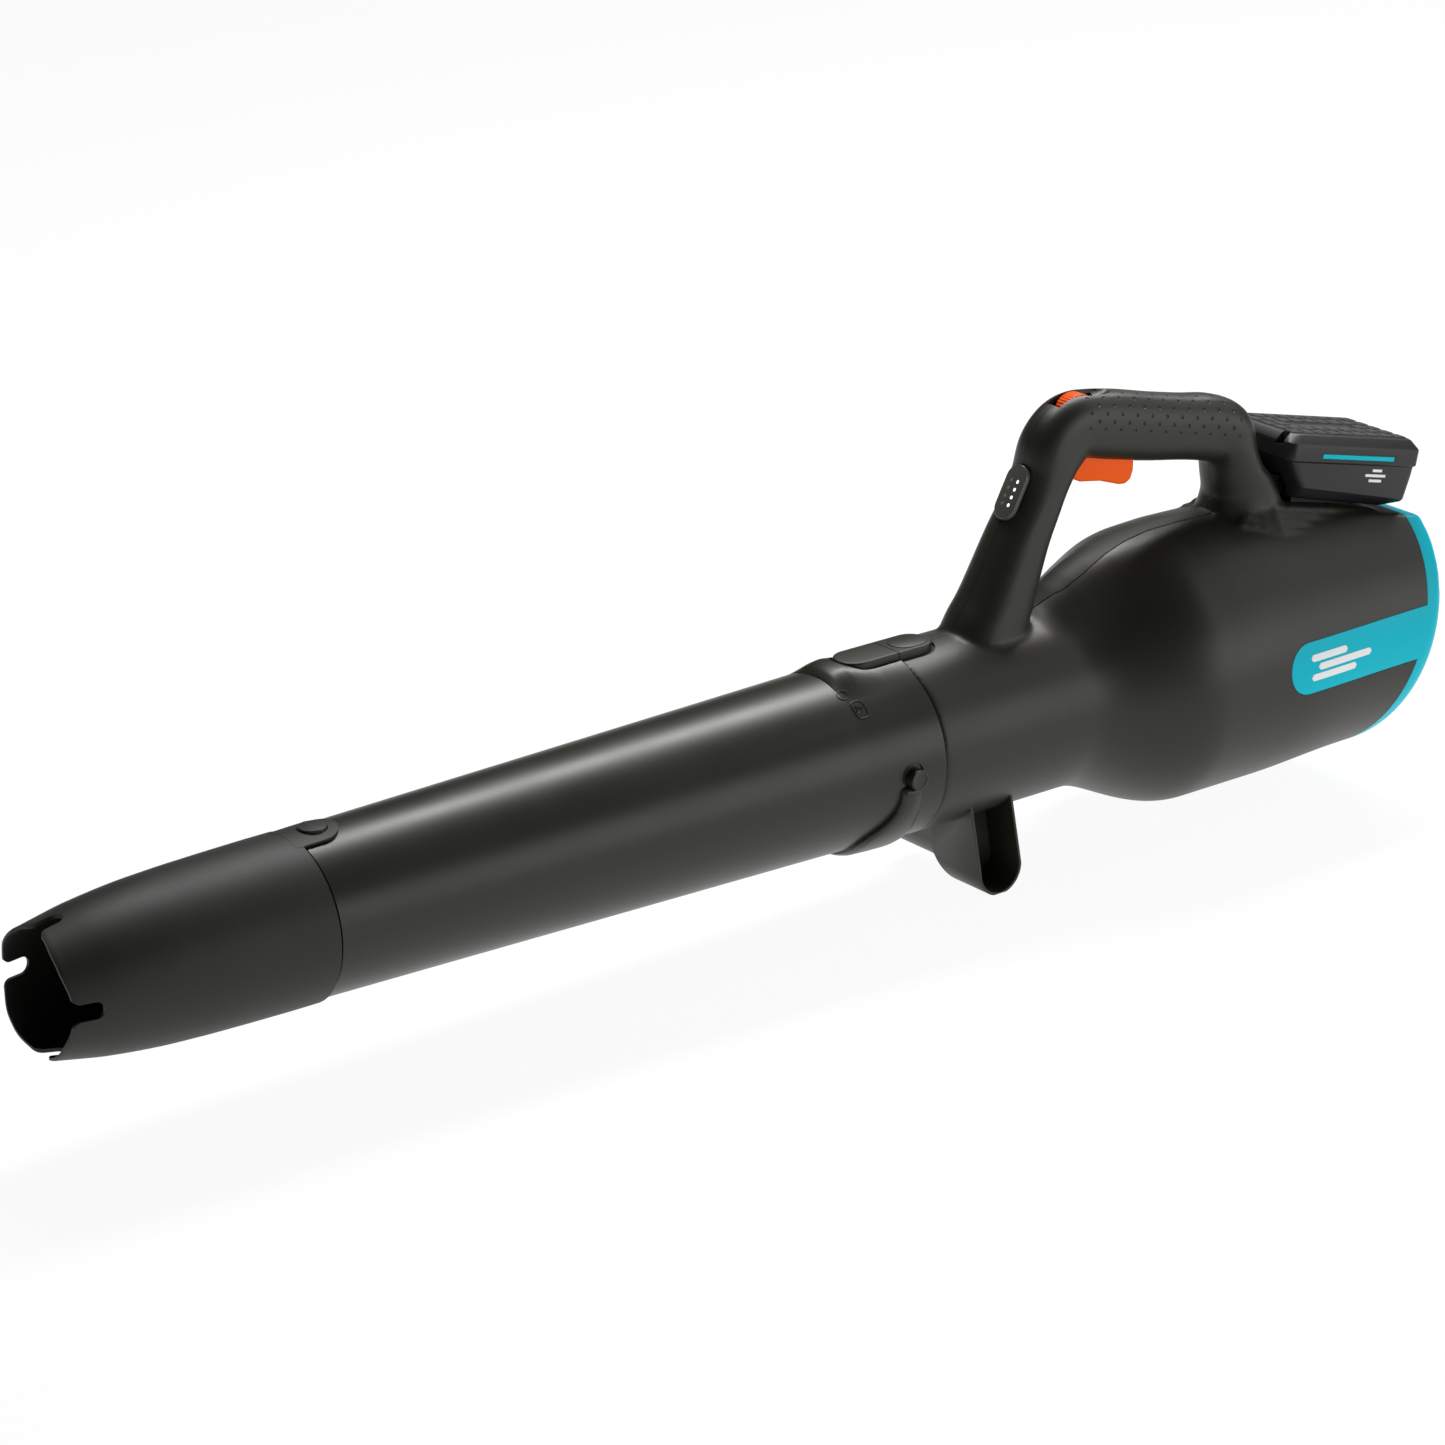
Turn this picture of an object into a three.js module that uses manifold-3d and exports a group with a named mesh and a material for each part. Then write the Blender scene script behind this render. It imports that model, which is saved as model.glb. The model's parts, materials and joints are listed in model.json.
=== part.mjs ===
// Cordless leaf blower, built piece by piece. Millimetres, +Z up, air path along X.
// While it is drawn, X = 0 is the seam between tube and housing and Z = 0 is the air path's axis.
// At the end the whole group is moved so that the origin is under the middle of the blower.
import * as THREE from 'three';
import { mergeVertices } from 'three/addons/utils/BufferGeometryUtils.js';
import Module from 'manifold-3d';

const wasm = await Module();
wasm.setup();

// ---------------------------------------------------------------- driving dimensions
const GAP = 0.3; // clearance between pieces that touch
const WALL = 2.6; // shell wall

const NECK_RADIUS = 59.2;
const BELLY_RADIUS = 88.4;
const BELLY_FLAT = 87.2; // flat strip under the belly that it stands on
const NECK_END = 122; // where the neck starts to flare
const BELLY_START = 213;
const CROWN_HEIGHT = 97; // top of the housing inside the handle loop
const REAR_SLANT = 0.3; // the rear face leans: X grows by this for each mm of Z
const RING_FRONT = 385.3;
const REAR_END = 400.6;

const TUBE_SEAM_RADIUS = 57.9; // the tube's cone, carried to the seam
const TUBE_TAPER = 0.0195;
const TUBE_WALL = 2.4;
const COLLAR_FRONT = -57;
const COLLAR_RADIUS = 59;
const NOZZLE_REAR = -442;
const TONGUE_REAR = -411;
const MOUTH = -613;
const MOUTH_RADIUS = 38.6;

const DOCK_TILT = THREE.MathUtils.degToRad(13.4); // grip and battery fall this much to the rear
const PLINTH_TOP = 166; // heights on the tilted frame
const BATTERY_BLOCK_BOTTOM = 167.4; // the block that slides over the dock
const BATTERY_UNDERSIDE = 176.4;
const BATTERY_SPLIT = 196.8;
const BATTERY_TOP = 214.9;
const BATTERY_FRONT = 269;
const BATTERY_REAR = 391;
const BATTERY_HALF_WIDTH = 37.5;

const FAN_X = 262;
const DUCT_BORE = 57.5;
const HUB_RADIUS = 27;
const SHAFT_RADIUS = 3;

// ---------------------------------------------------------------- materials
function plastic(color, roughness) {
  return new THREE.MeshStandardMaterial({ color, roughness, metalness: 0 });
}

function metal(color, roughness) {
  return new THREE.MeshStandardMaterial({ color, roughness, metalness: 1 });
}

const charcoal = plastic(0x45453f, 0.45);
const nozzlePlastic = plastic(0x3a3b37, 0.65);
const turquoise = plastic(0x00aebf, 0.35);
const orange = plastic(0xff6a10, 0.4);
const batteryBlack = plastic(0x262627, 0.5);
const panelGrey = plastic(0x55554f, 0.3);
const innerBlack = plastic(0x1c1c1c, 0.6);
const steel = metal(0xb8bbbd, 0.35);
const copper = metal(0xb87333, 0.4);
const boardGreen = plastic(0x1f5a34, 0.5);
const cellWrap = plastic(0x2f6f9f, 0.4);
const leadRed = plastic(0xa02020, 0.5);

// ---------------------------------------------------------------- solids
function solid(geometry) {
  const bare = geometry.index ? geometry.clone() : mergeVertices(geometry.clone());
  bare.deleteAttribute('normal');
  bare.deleteAttribute('uv');
  const welded = mergeVertices(bare, 1e-4);
  const mesh = new wasm.Mesh({
    numProp: 3,
    vertProperties: new Float32Array(welded.attributes.position.array),
    triVerts: new Uint32Array(welded.index.array),
  });
  return new wasm.Manifold(mesh);
}

function geometryOf(shape) {
  const mesh = shape.getMesh();
  const geometry = new THREE.BufferGeometry();
  geometry.setAttribute('position', new THREE.BufferAttribute(mesh.vertProperties, 3));
  geometry.setIndex(new THREE.BufferAttribute(mesh.triVerts, 1));
  geometry.computeVertexNormals();
  return geometry;
}

function ease(value, from, to) {
  return THREE.MathUtils.smoothstep(value, from, to);
}

// A closed loft: a capped cylinder whose rings are moved, one by one, to their stations.
function loft(stationCount, sides, place) {
  const geometry = new THREE.CylinderGeometry(1, 1, 1, sides, stationCount - 1);
  const position = geometry.attributes.position;
  const from = new THREE.Vector3();
  for (let i = 0; i < position.count; i += 1) {
    from.fromBufferAttribute(position, i);
    const station = Math.round((0.5 - from.y) * (stationCount - 1));
    const reach = Math.hypot(from.x, from.z) > 0.5 ? 1 : 0;
    const to = place(station, Math.atan2(from.x, from.z), reach);
    position.setXYZ(i, to.x, to.y, to.z);
  }
  return solid(geometry);
}

// A body of revolution about X. The profile is a closed list of [x, radius].
function turned(profile, sides = 32) {
  const points = profile.map(([x, radius]) => new THREE.Vector2(radius, x));
  points.push(points[0].clone());
  const geometry = new THREE.LatheGeometry(points, sides);
  geometry.rotateZ(-Math.PI / 2);
  const shape = solid(geometry);
  if (shape.volume() > 0) return shape;
  return solid(new THREE.LatheGeometry(points.reverse(), sides).rotateZ(-Math.PI / 2));
}

function outline(points) {
  return new THREE.Shape(points.map(([x, y]) => new THREE.Vector2(x, y)));
}

// An outline of [X, Z] points, extruded across the blower from yLow to yHigh.
function across(shape, yLow, yHigh, curveSegments = 5) {
  const settings = { depth: yHigh - yLow, bevelEnabled: false, curveSegments };
  const geometry = new THREE.ExtrudeGeometry(shape, settings);
  geometry.rotateX(Math.PI / 2);
  geometry.translate(0, yHigh, 0);
  return solid(geometry);
}

// An outline of [X, Y] points, extruded upwards.
function upwards(shape, zLow, zHigh, curveSegments = 5) {
  const settings = { depth: zHigh - zLow, bevelEnabled: false, curveSegments };
  const geometry = new THREE.ExtrudeGeometry(shape, settings);
  geometry.translate(0, 0, zLow);
  return solid(geometry);
}

function block(xLow, xHigh, yLow, yHigh, zLow, zHigh) {
  const geometry = new THREE.BoxGeometry(xHigh - xLow, yHigh - yLow, zHigh - zLow);
  geometry.translate((xLow + xHigh) / 2, (yLow + yHigh) / 2, (zLow + zHigh) / 2);
  return solid(geometry);
}

function rodAcross(x, z, radius, yLow, yHigh, sides = 16) {
  const geometry = new THREE.CylinderGeometry(radius, radius, yHigh - yLow, sides);
  geometry.translate(x, (yLow + yHigh) / 2, z);
  return solid(geometry);
}

function rodUp(x, y, radius, zLow, zHigh, sides = 24) {
  const geometry = new THREE.CylinderGeometry(radius, radius, zHigh - zLow, sides);
  geometry.rotateX(Math.PI / 2);
  geometry.translate(x, y, (zLow + zHigh) / 2);
  return solid(geometry);
}

// A stadium outline along its first axis, from low to high, of half-width r.
function stadium(low, high, middle, r) {
  const shape = new THREE.Shape();
  shape.absarc(high - r, middle, r, -Math.PI / 2, Math.PI / 2, false);
  shape.absarc(low + r, middle, r, Math.PI / 2, Math.PI * 1.5, false);
  shape.closePath();
  return shape;
}

function roundedBox(xLow, xHigh, yHalf, r) {
  const shape = new THREE.Shape();
  shape.absarc(xHigh - r, yHalf - r, r, 0, Math.PI / 2, false);
  shape.absarc(xLow + r, yHalf - r, r, Math.PI / 2, Math.PI, false);
  shape.absarc(xLow + r, -yHalf + r, r, Math.PI, Math.PI * 1.5, false);
  shape.absarc(xHigh - r, -yHalf + r, r, Math.PI * 1.5, Math.PI * 2, false);
  shape.closePath();
  return shape;
}

// A lead or coil: a round section swept along a curve.
function lead(points, radius, steps, sides = 3) {
  const curve = new THREE.CatmullRomCurve3(points.map(([x, y, z]) => new THREE.Vector3(x, y, z)));
  return swept(curve, radius, steps, sides);
}

function swept(curve, radius, steps, sides = 3) {
  const section = new THREE.Shape();
  section.absarc(0, 0, radius, 0, Math.PI * 2, false);
  const settings = { steps, extrudePath: curve, curveSegments: sides, bevelEnabled: false };
  return solid(new THREE.ExtrudeGeometry(section, settings));
}

// ---------------------------------------------------------------- groups
const blower = new THREE.Group();
const drawn = new THREE.Group();
blower.add(drawn);
const tilted = new THREE.Group(); // X along the grip, Z square to the battery's faces
tilted.rotation.y = DOCK_TILT;
drawn.add(tilted);

function put(name, shape, material, parent = drawn) {
  const mesh = new THREE.Mesh(geometryOf(shape), material);
  mesh.name = name;
  parent.add(mesh);
}

// Moves a shape drawn on the tilted frame to the upright one.
function toUpright(shape) {
  return shape.rotate([0, THREE.MathUtils.radToDeg(DOCK_TILT), 0]);
}

// ---------------------------------------------------------------- housing body
function bellyRadius(x) {
  const flare = (BELLY_RADIUS - NECK_RADIUS) * ease(x, NECK_END, BELLY_START);
  const taper = 2.6 * ease(x, 280, RING_FRONT);
  const edge = Math.max(0, (x - 392) / (REAR_END - 392));
  return NECK_RADIUS + flare - taper - 3 * edge * edge;
}

function crownHeight(x) {
  const lift = (CROWN_HEIGHT - NECK_RADIUS) * ease(x, 112, 192);
  const flare = (BELLY_RADIUS - NECK_RADIUS) * ease(x, NECK_END, BELLY_START);
  return bellyRadius(x) + (lift - flare) * (1 - ease(x, 200, 340));
}

// The flat under the battery falls gently to the rear.
function batteryFlat(x) {
  const back = x - 320;
  return 84 - 0.14 * back - 0.0003 * back * back;
}

function slant(x) {
  return REAR_SLANT * ease(x, 230, RING_FRONT);
}

function housingLoft(stations, sides, inset) {
  return loft(stations.length, sides, (station, angle, reach) => {
    const x = stations[station];
    const side = bellyRadius(x) - inset;
    const top = crownHeight(x) - inset;
    const height = (Math.cos(angle) > 0 ? top : side) * Math.cos(angle);
    const lowered = x > 290 ? Math.min(height, batteryFlat(x) - inset) : height;
    const z = reach * Math.max(lowered, inset - BELLY_FLAT);
    return new THREE.Vector3(x + slant(x) * z, reach * side * Math.sin(angle), z);
  });
}

const OUTER_STATIONS = [
  0, 55, 104, 112, 120, 128, 136, 144, 152, 160, 168, 177, 187, 198, 211, 235, 262, 291, 318,
  344, 367, 383, 392, 397, 400.6,
];
const INNER_STATIONS = [-2, 104, 116, 128, 140, 152, 164, 177, 192, 211, 262, 291, 320, 360, 393, 403];

const bodyOuter = housingLoft(OUTER_STATIONS, 40, 0);
const bodyInner = housingLoft(INNER_STATIONS, 32, WALL);

// ---------------------------------------------------------------- handle
// Centre line of the handle: X, Z, half thickness in the loop's plane, half width across it,
// and how much wider the outer side is than the middle.
const HANDLE = [
  [72, 38, 26, 25, 0],
  [81, 57, 25, 24, 0],
  [89, 73, 22.5, 23, 0],
  [105.5, 109, 18.5, 21, 0],
  [116, 131, 17.5, 20, 0],
  [124.5, 148, 18, 19, 0],
  [136, 166, 20, 18.5, 0],
  [153, 177.5, 20.8, 18, 0],
  [180, 173.5, 20, 17.5, 0],
  [214, 165.2, 19.5, 17.5, 0],
  [243, 158.5, 20, 17.8, 0],
  [263, 155, 19.3, 18, 0],
  [278, 149, 18.5, 19.5, 0.05],
  [282.5, 134, 14.5, 21.5, 0.2],
  [285.5, 118, 15.5, 23, 0.28],
  [289, 106, 19, 24, 0.3],
  [291, 90, 26, 26, 0.2],
  [292, 66, 28, 27, 0.1],
];

const handleLine = new THREE.CatmullRomCurve3(HANDLE.map(([x, z]) => new THREE.Vector3(x, 0, z)));

function handleLoft(first, last, stations, sides, inset) {
  const span = HANDLE.length - 1;
  return loft(stations, sides, (station, angle, reach) => {
    const along = THREE.MathUtils.lerp(first, last, station / (stations - 1));
    const at = Math.min(Math.floor(along), span - 1);
    const part = along - at;
    const centre = handleLine.getPoint(along / span);
    const ahead = handleLine.getTangent(along / span);
    const thick = THREE.MathUtils.lerp(HANDLE[at][2], HANDLE[at + 1][2], part) - inset;
    const wide = THREE.MathUtils.lerp(HANDLE[at][3], HANDLE[at + 1][3], part) - inset;
    const wedge = THREE.MathUtils.lerp(HANDLE[at][4], HANDLE[at + 1][4], part);
    const squared = (value) => Math.sign(value) * Math.abs(value) ** (2 / 2.5);
    const out = reach * thick * squared(Math.cos(angle));
    return new THREE.Vector3(
      centre.x - ahead.z * out,
      reach * wide * squared(Math.sin(angle)) * (1 + wedge * Math.cos(angle)),
      centre.z + ahead.x * out,
    );
  });
}

const handleOuter = handleLoft(0, HANDLE.length - 1, 30, 18, 0);
const handleInner = handleLoft(2.6, HANDLE.length - 1, 22, 12, 3);

// ---------------------------------------------------------------- plinth under the battery
const plinthSection = outline([[-36, 140], [36, 140], [28, PLINTH_TOP], [-28, PLINTH_TOP]]);

function alongTilt(shape, from, to) {
  const settings = { depth: to - from, bevelEnabled: false };
  const geometry = new THREE.ExtrudeGeometry(shape, settings);
  geometry.rotateX(Math.PI / 2);
  geometry.rotateZ(Math.PI / 2);
  geometry.translate(from, 0, 0);
  return solid(geometry);
}

const plinth = toUpright(alongTilt(plinthSection, 262, 366));
const plinthHollow = toUpright(block(272, 360, -21, 21, 130, PLINTH_TOP - 3));

// ---------------------------------------------------------------- foot
// The foot is a channel across the neck. Its left end is a deep open hook, its right end is shorter.
function footOutline(inset, bottom) {
  const r = 17.5 - inset;
  const low = bottom + inset;
  const shape = new THREE.Shape();
  shape.moveTo(30 + inset, -30);
  shape.lineTo(39.5 + inset, low + r);
  shape.absarc(57, low + r, r, Math.PI, Math.PI * 2, false);
  shape.lineTo(64.5 - inset, -30);
  shape.closePath();
  return shape;
}

const HOOK_BOTTOM = -104;
const SKID_BOTTOM = -93.3;
const FOOT_HALF_WIDTH = 45;
const HOOK_END = -16; // the pocket of the hook stops at this Y, and the skid's begins at 12
const neckSolid = turned([[-1, 0], [-1, NECK_RADIUS - 0.6], [119, NECK_RADIUS - 0.6], [119, 0]], 44);
const hook = across(footOutline(0, HOOK_BOTTOM), -FOOT_HALF_WIDTH, 0).subtract(
  block(30, 90, 0, 40, -40, 0).rotate([53.6, 0, 0]).translate([0, -14.5, HOOK_BOTTOM - 0.4]),
);
const hookPocket = across(footOutline(2.4, HOOK_BOTTOM), -FOOT_HALF_WIDTH - 1, HOOK_END);
const skid = across(footOutline(0, SKID_BOTTOM), -7, FOOT_HALF_WIDTH);
const skidPocket = across(footOutline(2.4, SKID_BOTTOM), 12, FOOT_HALF_WIDTH + 1);
const hookFlat = block(46, 68, -FOOT_HALF_WIDTH - 1, 1, HOOK_BOTTOM - 1, HOOK_BOTTOM + 0.8);
const neckRoom = turned([[-1, 0], [-1, NECK_RADIUS + GAP], [119, NECK_RADIUS + GAP], [119, 0]], 44);
const foot = hook.add(skid).subtract(hookPocket).subtract(skidPocket).subtract(hookFlat)
  .subtract(neckRoom);

// ---------------------------------------------------------------- screws
const SCREWS = [
  ['post_screw_low', 91, 80, 17],
  ['post_screw_high', 117, 138, 14],
  ['grip_screw', 247, 157, 13],
  ['belly_screw_top', 205, 78, 34],
  ['belly_screw_front', 206, -72, 38],
  ['belly_screw_rear', 316, -70, 40],
];

// A screw across the parting line. Its head is sunk in the right shell at the reach given.
function screw(x, z, reach, grow) {
  const shank = rodAcross(x, z, 1.9 + grow, -reach + 4 - grow, reach - 3, 10);
  const head = rodAcross(x, z, 3.7 + grow, reach - 3 - grow, reach + grow, 16);
  return shank.add(head);
}

// The head's well runs outwards through the right wall, and the boss carries the thread.
function screwWell(x, z, reach) {
  return screw(x, z, reach, GAP).add(rodAcross(x, z, 4, reach, reach + 60, 16));
}

// ---------------------------------------------------------------- shells
const spigot = turned([[-38, 51.6], [-38, 54.4], [2, 54.4], [2, 57.4], [10, 57.4], [10, 54]], 44);
const cutAboveRing = (from) => {
  const big = block(from, from + 200, -120, 120, -300, 300);
  return big.rotate([0, THREE.MathUtils.radToDeg(Math.atan(REAR_SLANT)), 0]);
};
const slantLength = Math.cos(Math.atan(REAR_SLANT));
const behindRing = cutAboveRing(RING_FRONT * slantLength);
const ringZone = cutAboveRing((RING_FRONT + GAP) * slantLength);

// Side bands: a stadium outline seen from the side, running back into the ring.
const BAND_MIDDLE = 7;
const BAND_HALF = 17.5;
const bandCut = across(stadium(265, 450, BAND_MIDDLE, BAND_HALF), -100, 100, 10);
const bandZone = across(stadium(265 + GAP, 450, BAND_MIDDLE, BAND_HALF - GAP), -100, 100, 10);

// The cover in the loop is a pointed oval let into the crown.
function loopCoverOutline(inset) {
  const shape = new THREE.Shape();
  shape.moveTo(101 + inset, 0);
  shape.bezierCurveTo(112, 27 - inset, 158, 38 - inset, 243 - inset, 0);
  shape.bezierCurveTo(158, -38 + inset, 112, -27 + inset, 101 + inset, 0);
  return shape;
}

const coverCut = upwards(loopCoverOutline(0), 52, 110, 9);
const coverZone = upwards(loopCoverOutline(GAP), 52, 110, 9);

const TRIGGER_PIVOT = [147, 158];
const WHEEL_CENTRE = [153, 182.5];
const pinHoles = rodAcross(...TRIGGER_PIVOT, 2.2 + GAP, -11.3, 11.3, 16)
  .add(rodAcross(...WHEEL_CENTRE, 2.2 + GAP, -16.3, 16.3, 16));
const triggerSlot = block(138, 201, -8.6, 8.6, 120, 166);
const wheelSlot = block(134, 172, -5.4, 5.4, 164, 210);
const wheelDish = new THREE.SphereGeometry(1, 20, 12).scale(25, 12, 18).rotateY(0.2);
const wheelHollow = solid(wheelDish.translate(150, 0, 213));

// The front panel's pocket is square to the post's slope.
const POST_SLOPE = THREE.MathUtils.degToRad(61);
const PANEL_CENTRE = new THREE.Vector3(99.2, 0, 144.5);

function onPost(shape) {
  const turn = [0, 90 - THREE.MathUtils.radToDeg(POST_SLOPE) - 90, 0];
  return shape.rotate(turn).translate([PANEL_CENTRE.x, 0, PANEL_CENTRE.z]);
}

function panelBlock(grow, depth) {
  const shape = stadium(-18.5 - grow, 18.5 + grow, 0, 9 + grow);
  return upwards(shape, -depth, grow > 0 ? 10 : 1.4, 8);
}

const panelCut = onPost(panelBlock(GAP, 3.3));
const latchCut = upwards(stadium(-20, 33.5, 0, 13.5), 50, 70, 8).subtract(block(-30, -1, -20, 20, 40, 80));
const leadHole = block(276, 304, -12, 12, 55, 100);
const terminalHole = toUpright(block(264, 289, -16, 16, 158, 186));

const housingSkin = bodyOuter.subtract(bodyInner);
const band = housingSkin.intersect(ringZone.add(bandZone));

let housing = bodyOuter
  .add(handleOuter)
  .add(plinth)
  .subtract(bodyInner)
  .subtract(handleInner.subtract(neckSolid))
  .subtract(plinthHollow)
  .add(spigot);

const bosses = SCREWS.map(([, x, z, reach]) => rodAcross(x, z, 5, -reach, reach, 12));
for (const boss of bosses) housing = housing.add(boss);
for (const [, x, z, reach] of SCREWS) housing = housing.subtract(screwWell(x, z, reach));

housing = housing
  .subtract(behindRing)
  .subtract(bandCut)
  .subtract(pinHoles)
  .subtract(triggerSlot)
  .subtract(wheelSlot)
  .subtract(wheelHollow)
  .subtract(panelCut)
  .subtract(latchCut)
  .subtract(leadHole)
  .subtract(terminalHole);

const postKeep = handleOuter;
housing = housing.subtract(coverCut.subtract(postKeep));
const cover = housingSkin.intersect(coverZone).subtract(
  handleLoft(0, HANDLE.length - 1, 30, 18, -GAP),
);

const leftHalf = block(-60, 460, -120, -GAP / 2, -150, 250);
const rightHalf = block(-60, 460, GAP / 2, 120, -150, 250);

// A cut can leave crumbs; the piece is the largest body.
function largest(shape) {
  const pieces = shape.decompose();
  return pieces.reduce((best, next) => (next.volume() > best.volume() ? next : best));
}

put('left_shell', largest(housing.intersect(leftHalf)), charcoal);
put('right_shell', largest(housing.intersect(rightHalf)), charcoal);
put('loop_cover', largest(cover), charcoal);
put('rear_ring', largest(band), turquoise);
put('foot', largest(foot), charcoal);

for (const [name, x, z, reach] of SCREWS) {
  put(name, screw(x, z, reach, 0), steel);
}

put('display_panel', onPost(panelBlock(0, 3)), panelGrey);

// ---------------------------------------------------------------- intake and fan
const GRILLE_FRONT = -11; // measured from the rear face, square to it

function onRearFace(shape) {
  return shape.rotate([0, THREE.MathUtils.radToDeg(Math.atan(REAR_SLANT)), 0]).translate([REAR_END, 0, 0]);
}

function grille() {
  const at = GRILLE_FRONT;
  const opening = housingLoft(INNER_STATIONS, 32, WALL + GAP);
  const slab = onRearFace(turned([[at, 0], [at, 110], [at + 4, 110], [at + 4, 0]], 24));
  let bars = turned([[at, 15], [at, 18], [at + 3, 18], [at + 3, 15]], 18);
  for (const radius of [34, 52, 70]) {
    bars = bars.add(turned([[at, radius - 1.2], [at, radius + 1.2], [at + 3, radius + 1.2],
      [at + 3, radius - 1.2]], 24));
  }
  for (let i = 0; i < 12; i += 1) {
    bars = bars.add(block(at + 0.4, at + 2.6, -1.2, 1.2, 16, 90).rotate([i * 30, 0, 0]));
  }
  const rim = opening.subtract(housingLoft(INNER_STATIONS, 32, WALL + 5)).intersect(slab);
  return onRearFace(bars).intersect(opening).add(rim);
}

put('intake_grille', largest(grille()), innerBlack);

put('inlet_bell', turned([
  [303, 57.5], [303, 60], [318, 61.5], [334, 66.5], [347, 75], [350, 75], [350, 72.5],
  [336, 64], [320, 58.8],
]), innerBlack);

function fanDuct() {
  let shape = turned([[143, 56], [143, 58.4], [302, 60], [302, DUCT_BORE]]);
  shape = shape.add(turned([[168, HUB_RADIUS - 2], [168, HUB_RADIUS], [240, HUB_RADIUS],
    [240, HUB_RADIUS - 2]], 28));
  shape = shape.add(turned([[168, 7], [168, HUB_RADIUS], [171, HUB_RADIUS], [171, 7]], 28));
  for (let i = 0; i < 7; i += 1) {
    const vane = block(185, 232, -1.1, 1.1, HUB_RADIUS - 1, DUCT_BORE + 0.5);
    shape = shape.add(vane.rotate([i * (360 / 7), 0, 0]));
  }
  return shape;
}

put('fan_duct', fanDuct(), innerBlack);

function impeller() {
  let shape = turned([[FAN_X - 14, SHAFT_RADIUS + 0.05], [FAN_X - 14, 25], [FAN_X + 8, 25],
    [FAN_X + 20, 16], [FAN_X + 24, 6], [FAN_X + 24, SHAFT_RADIUS + 0.05]], 28);
  for (let i = 0; i < 9; i += 1) {
    const blade = block(-13, 13, -1.2, 1.2, 23, 56).rotate([0, 0, 38]);
    shape = shape.add(blade.translate([FAN_X - 2, 0, 0]).rotate([i * 40, 0, 0]));
  }
  const reach = turned([[FAN_X - 40, 0], [FAN_X - 40, 56], [FAN_X + 40, 56], [FAN_X + 40, 0]], 36);
  return shape.intersect(reach);
}

put('impeller', impeller(), innerBlack);

function ringAbout(from, to, inner, outer, sides = 24) {
  return turned([[from, inner], [from, outer], [to, outer], [to, inner]], sides);
}

put('motor_shaft', turned([[168, 0], [168, SHAFT_RADIUS], [285, SHAFT_RADIUS], [285, 0]], 20), steel);
put('front_bearing', ringAbout(171.5, 177.5, SHAFT_RADIUS + 0.05, 8), steel);
put('rear_bearing', ringAbout(228, 234, SHAFT_RADIUS + 0.05, 8), steel);
put('motor_rotor', ringAbout(184, 222, SHAFT_RADIUS + 0.3, 12), steel);

function stator() {
  let shape = ringAbout(184, 222, 20.5, HUB_RADIUS - 2 - GAP, 28);
  for (let i = 0; i < 6; i += 1) {
    const tooth = block(186, 220, -3.2, 3.2, 13, 21.5);
    shape = shape.add(tooth.rotate([i * 60, 0, 0]));
  }
  return shape;
}

put('motor_stator', stator(), copper);
put('motor_plate', ringAbout(234.4, 239, 8.4, HUB_RADIUS - 2 - GAP, 28), innerBlack);
put('tail_cone', turned([[112, 0], [116, 9], [130, 18], [148, 24.4], [167.6, HUB_RADIUS],
  [167.6, 0]], 28), innerBlack);

// ---------------------------------------------------------------- electrics
function controlBoard() {
  let shape = block(212, 252, -24, 24, 64, 65.6);
  const parts = [[216, 228, -16, -4, 72], [216, 232, 4, 18, 70], [236, 248, -18, 12, 69]];
  for (const [xLow, xHigh, yLow, yHigh, top] of parts) {
    shape = shape.add(block(xLow, xHigh, yLow, yHigh, 65, top));
  }
  return shape;
}

put('control_board', controlBoard(), boardGreen);
put('power_switch', toUpright(block(165, 196, -8, 8, 201, 220)).add(
  toUpright(block(162, 166, -4, 4, 205, 211))), innerBlack);
put('switch_lead', lead([[242.5, 2, 160.5], [247, 6, 163], [258, 9, 156], [275, 9, 138], [285, 9, 115],
  [286, 9, 95], [276, 9, 82], [258, 9, 76], [250, 12.5, 76.5]], 1.6, 22), leadRed);
put('battery_lead', lead([[300, 0, 97], [299, -5, 91], [295, -8, 82], [280, -9, 76], [262, -9, 74],
  [253.5, -9, 74]], 2, 16), leadRed);
put('motor_lead', lead([[214, -21, 67.6], [207, -22, 69], [201, -22, 66], [198, -20, 61]], 1.6, 14),
  leadRed);

// ---------------------------------------------------------------- trigger and speed wheel
const triggerShape = outline([
  [141.5, 152], [145, 144.5], [153, 140.2], [170, 137.2], [186, 131.6], [191, 131],
  [195.5, 133.2], [197.8, 139], [198.4, 157], [170, 159.5], [151.5, 163], [144, 162], [141.5, 158],
]);
const pivotHole = rodAcross(...TRIGGER_PIVOT, 2.3, -20, 20, 16);
put('trigger', across(triggerShape, -8, 8).subtract(pivotHole), orange);
put('trigger_pin', rodAcross(...TRIGGER_PIVOT, 2.2, -11, 11, 16), steel);

const SPRING_X = 176;
const SPRING_LOW = 160;
const SPRING_HIGH = 189;

class SpringLine extends THREE.Curve {
  getPoint(t, target = new THREE.Vector3()) {
    const turn = t * Math.PI * 2 * 5;
    const z = THREE.MathUtils.lerp(SPRING_LOW + 0.8, SPRING_HIGH - 0.8, t);
    return target.set(SPRING_X + 3.2 * Math.cos(turn), 3.2 * Math.sin(turn), z);
  }
}

put('trigger_spring', swept(new SpringLine(), 0.5, 40, 2), steel);

const WHEEL_RADIUS = 14.5;

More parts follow.
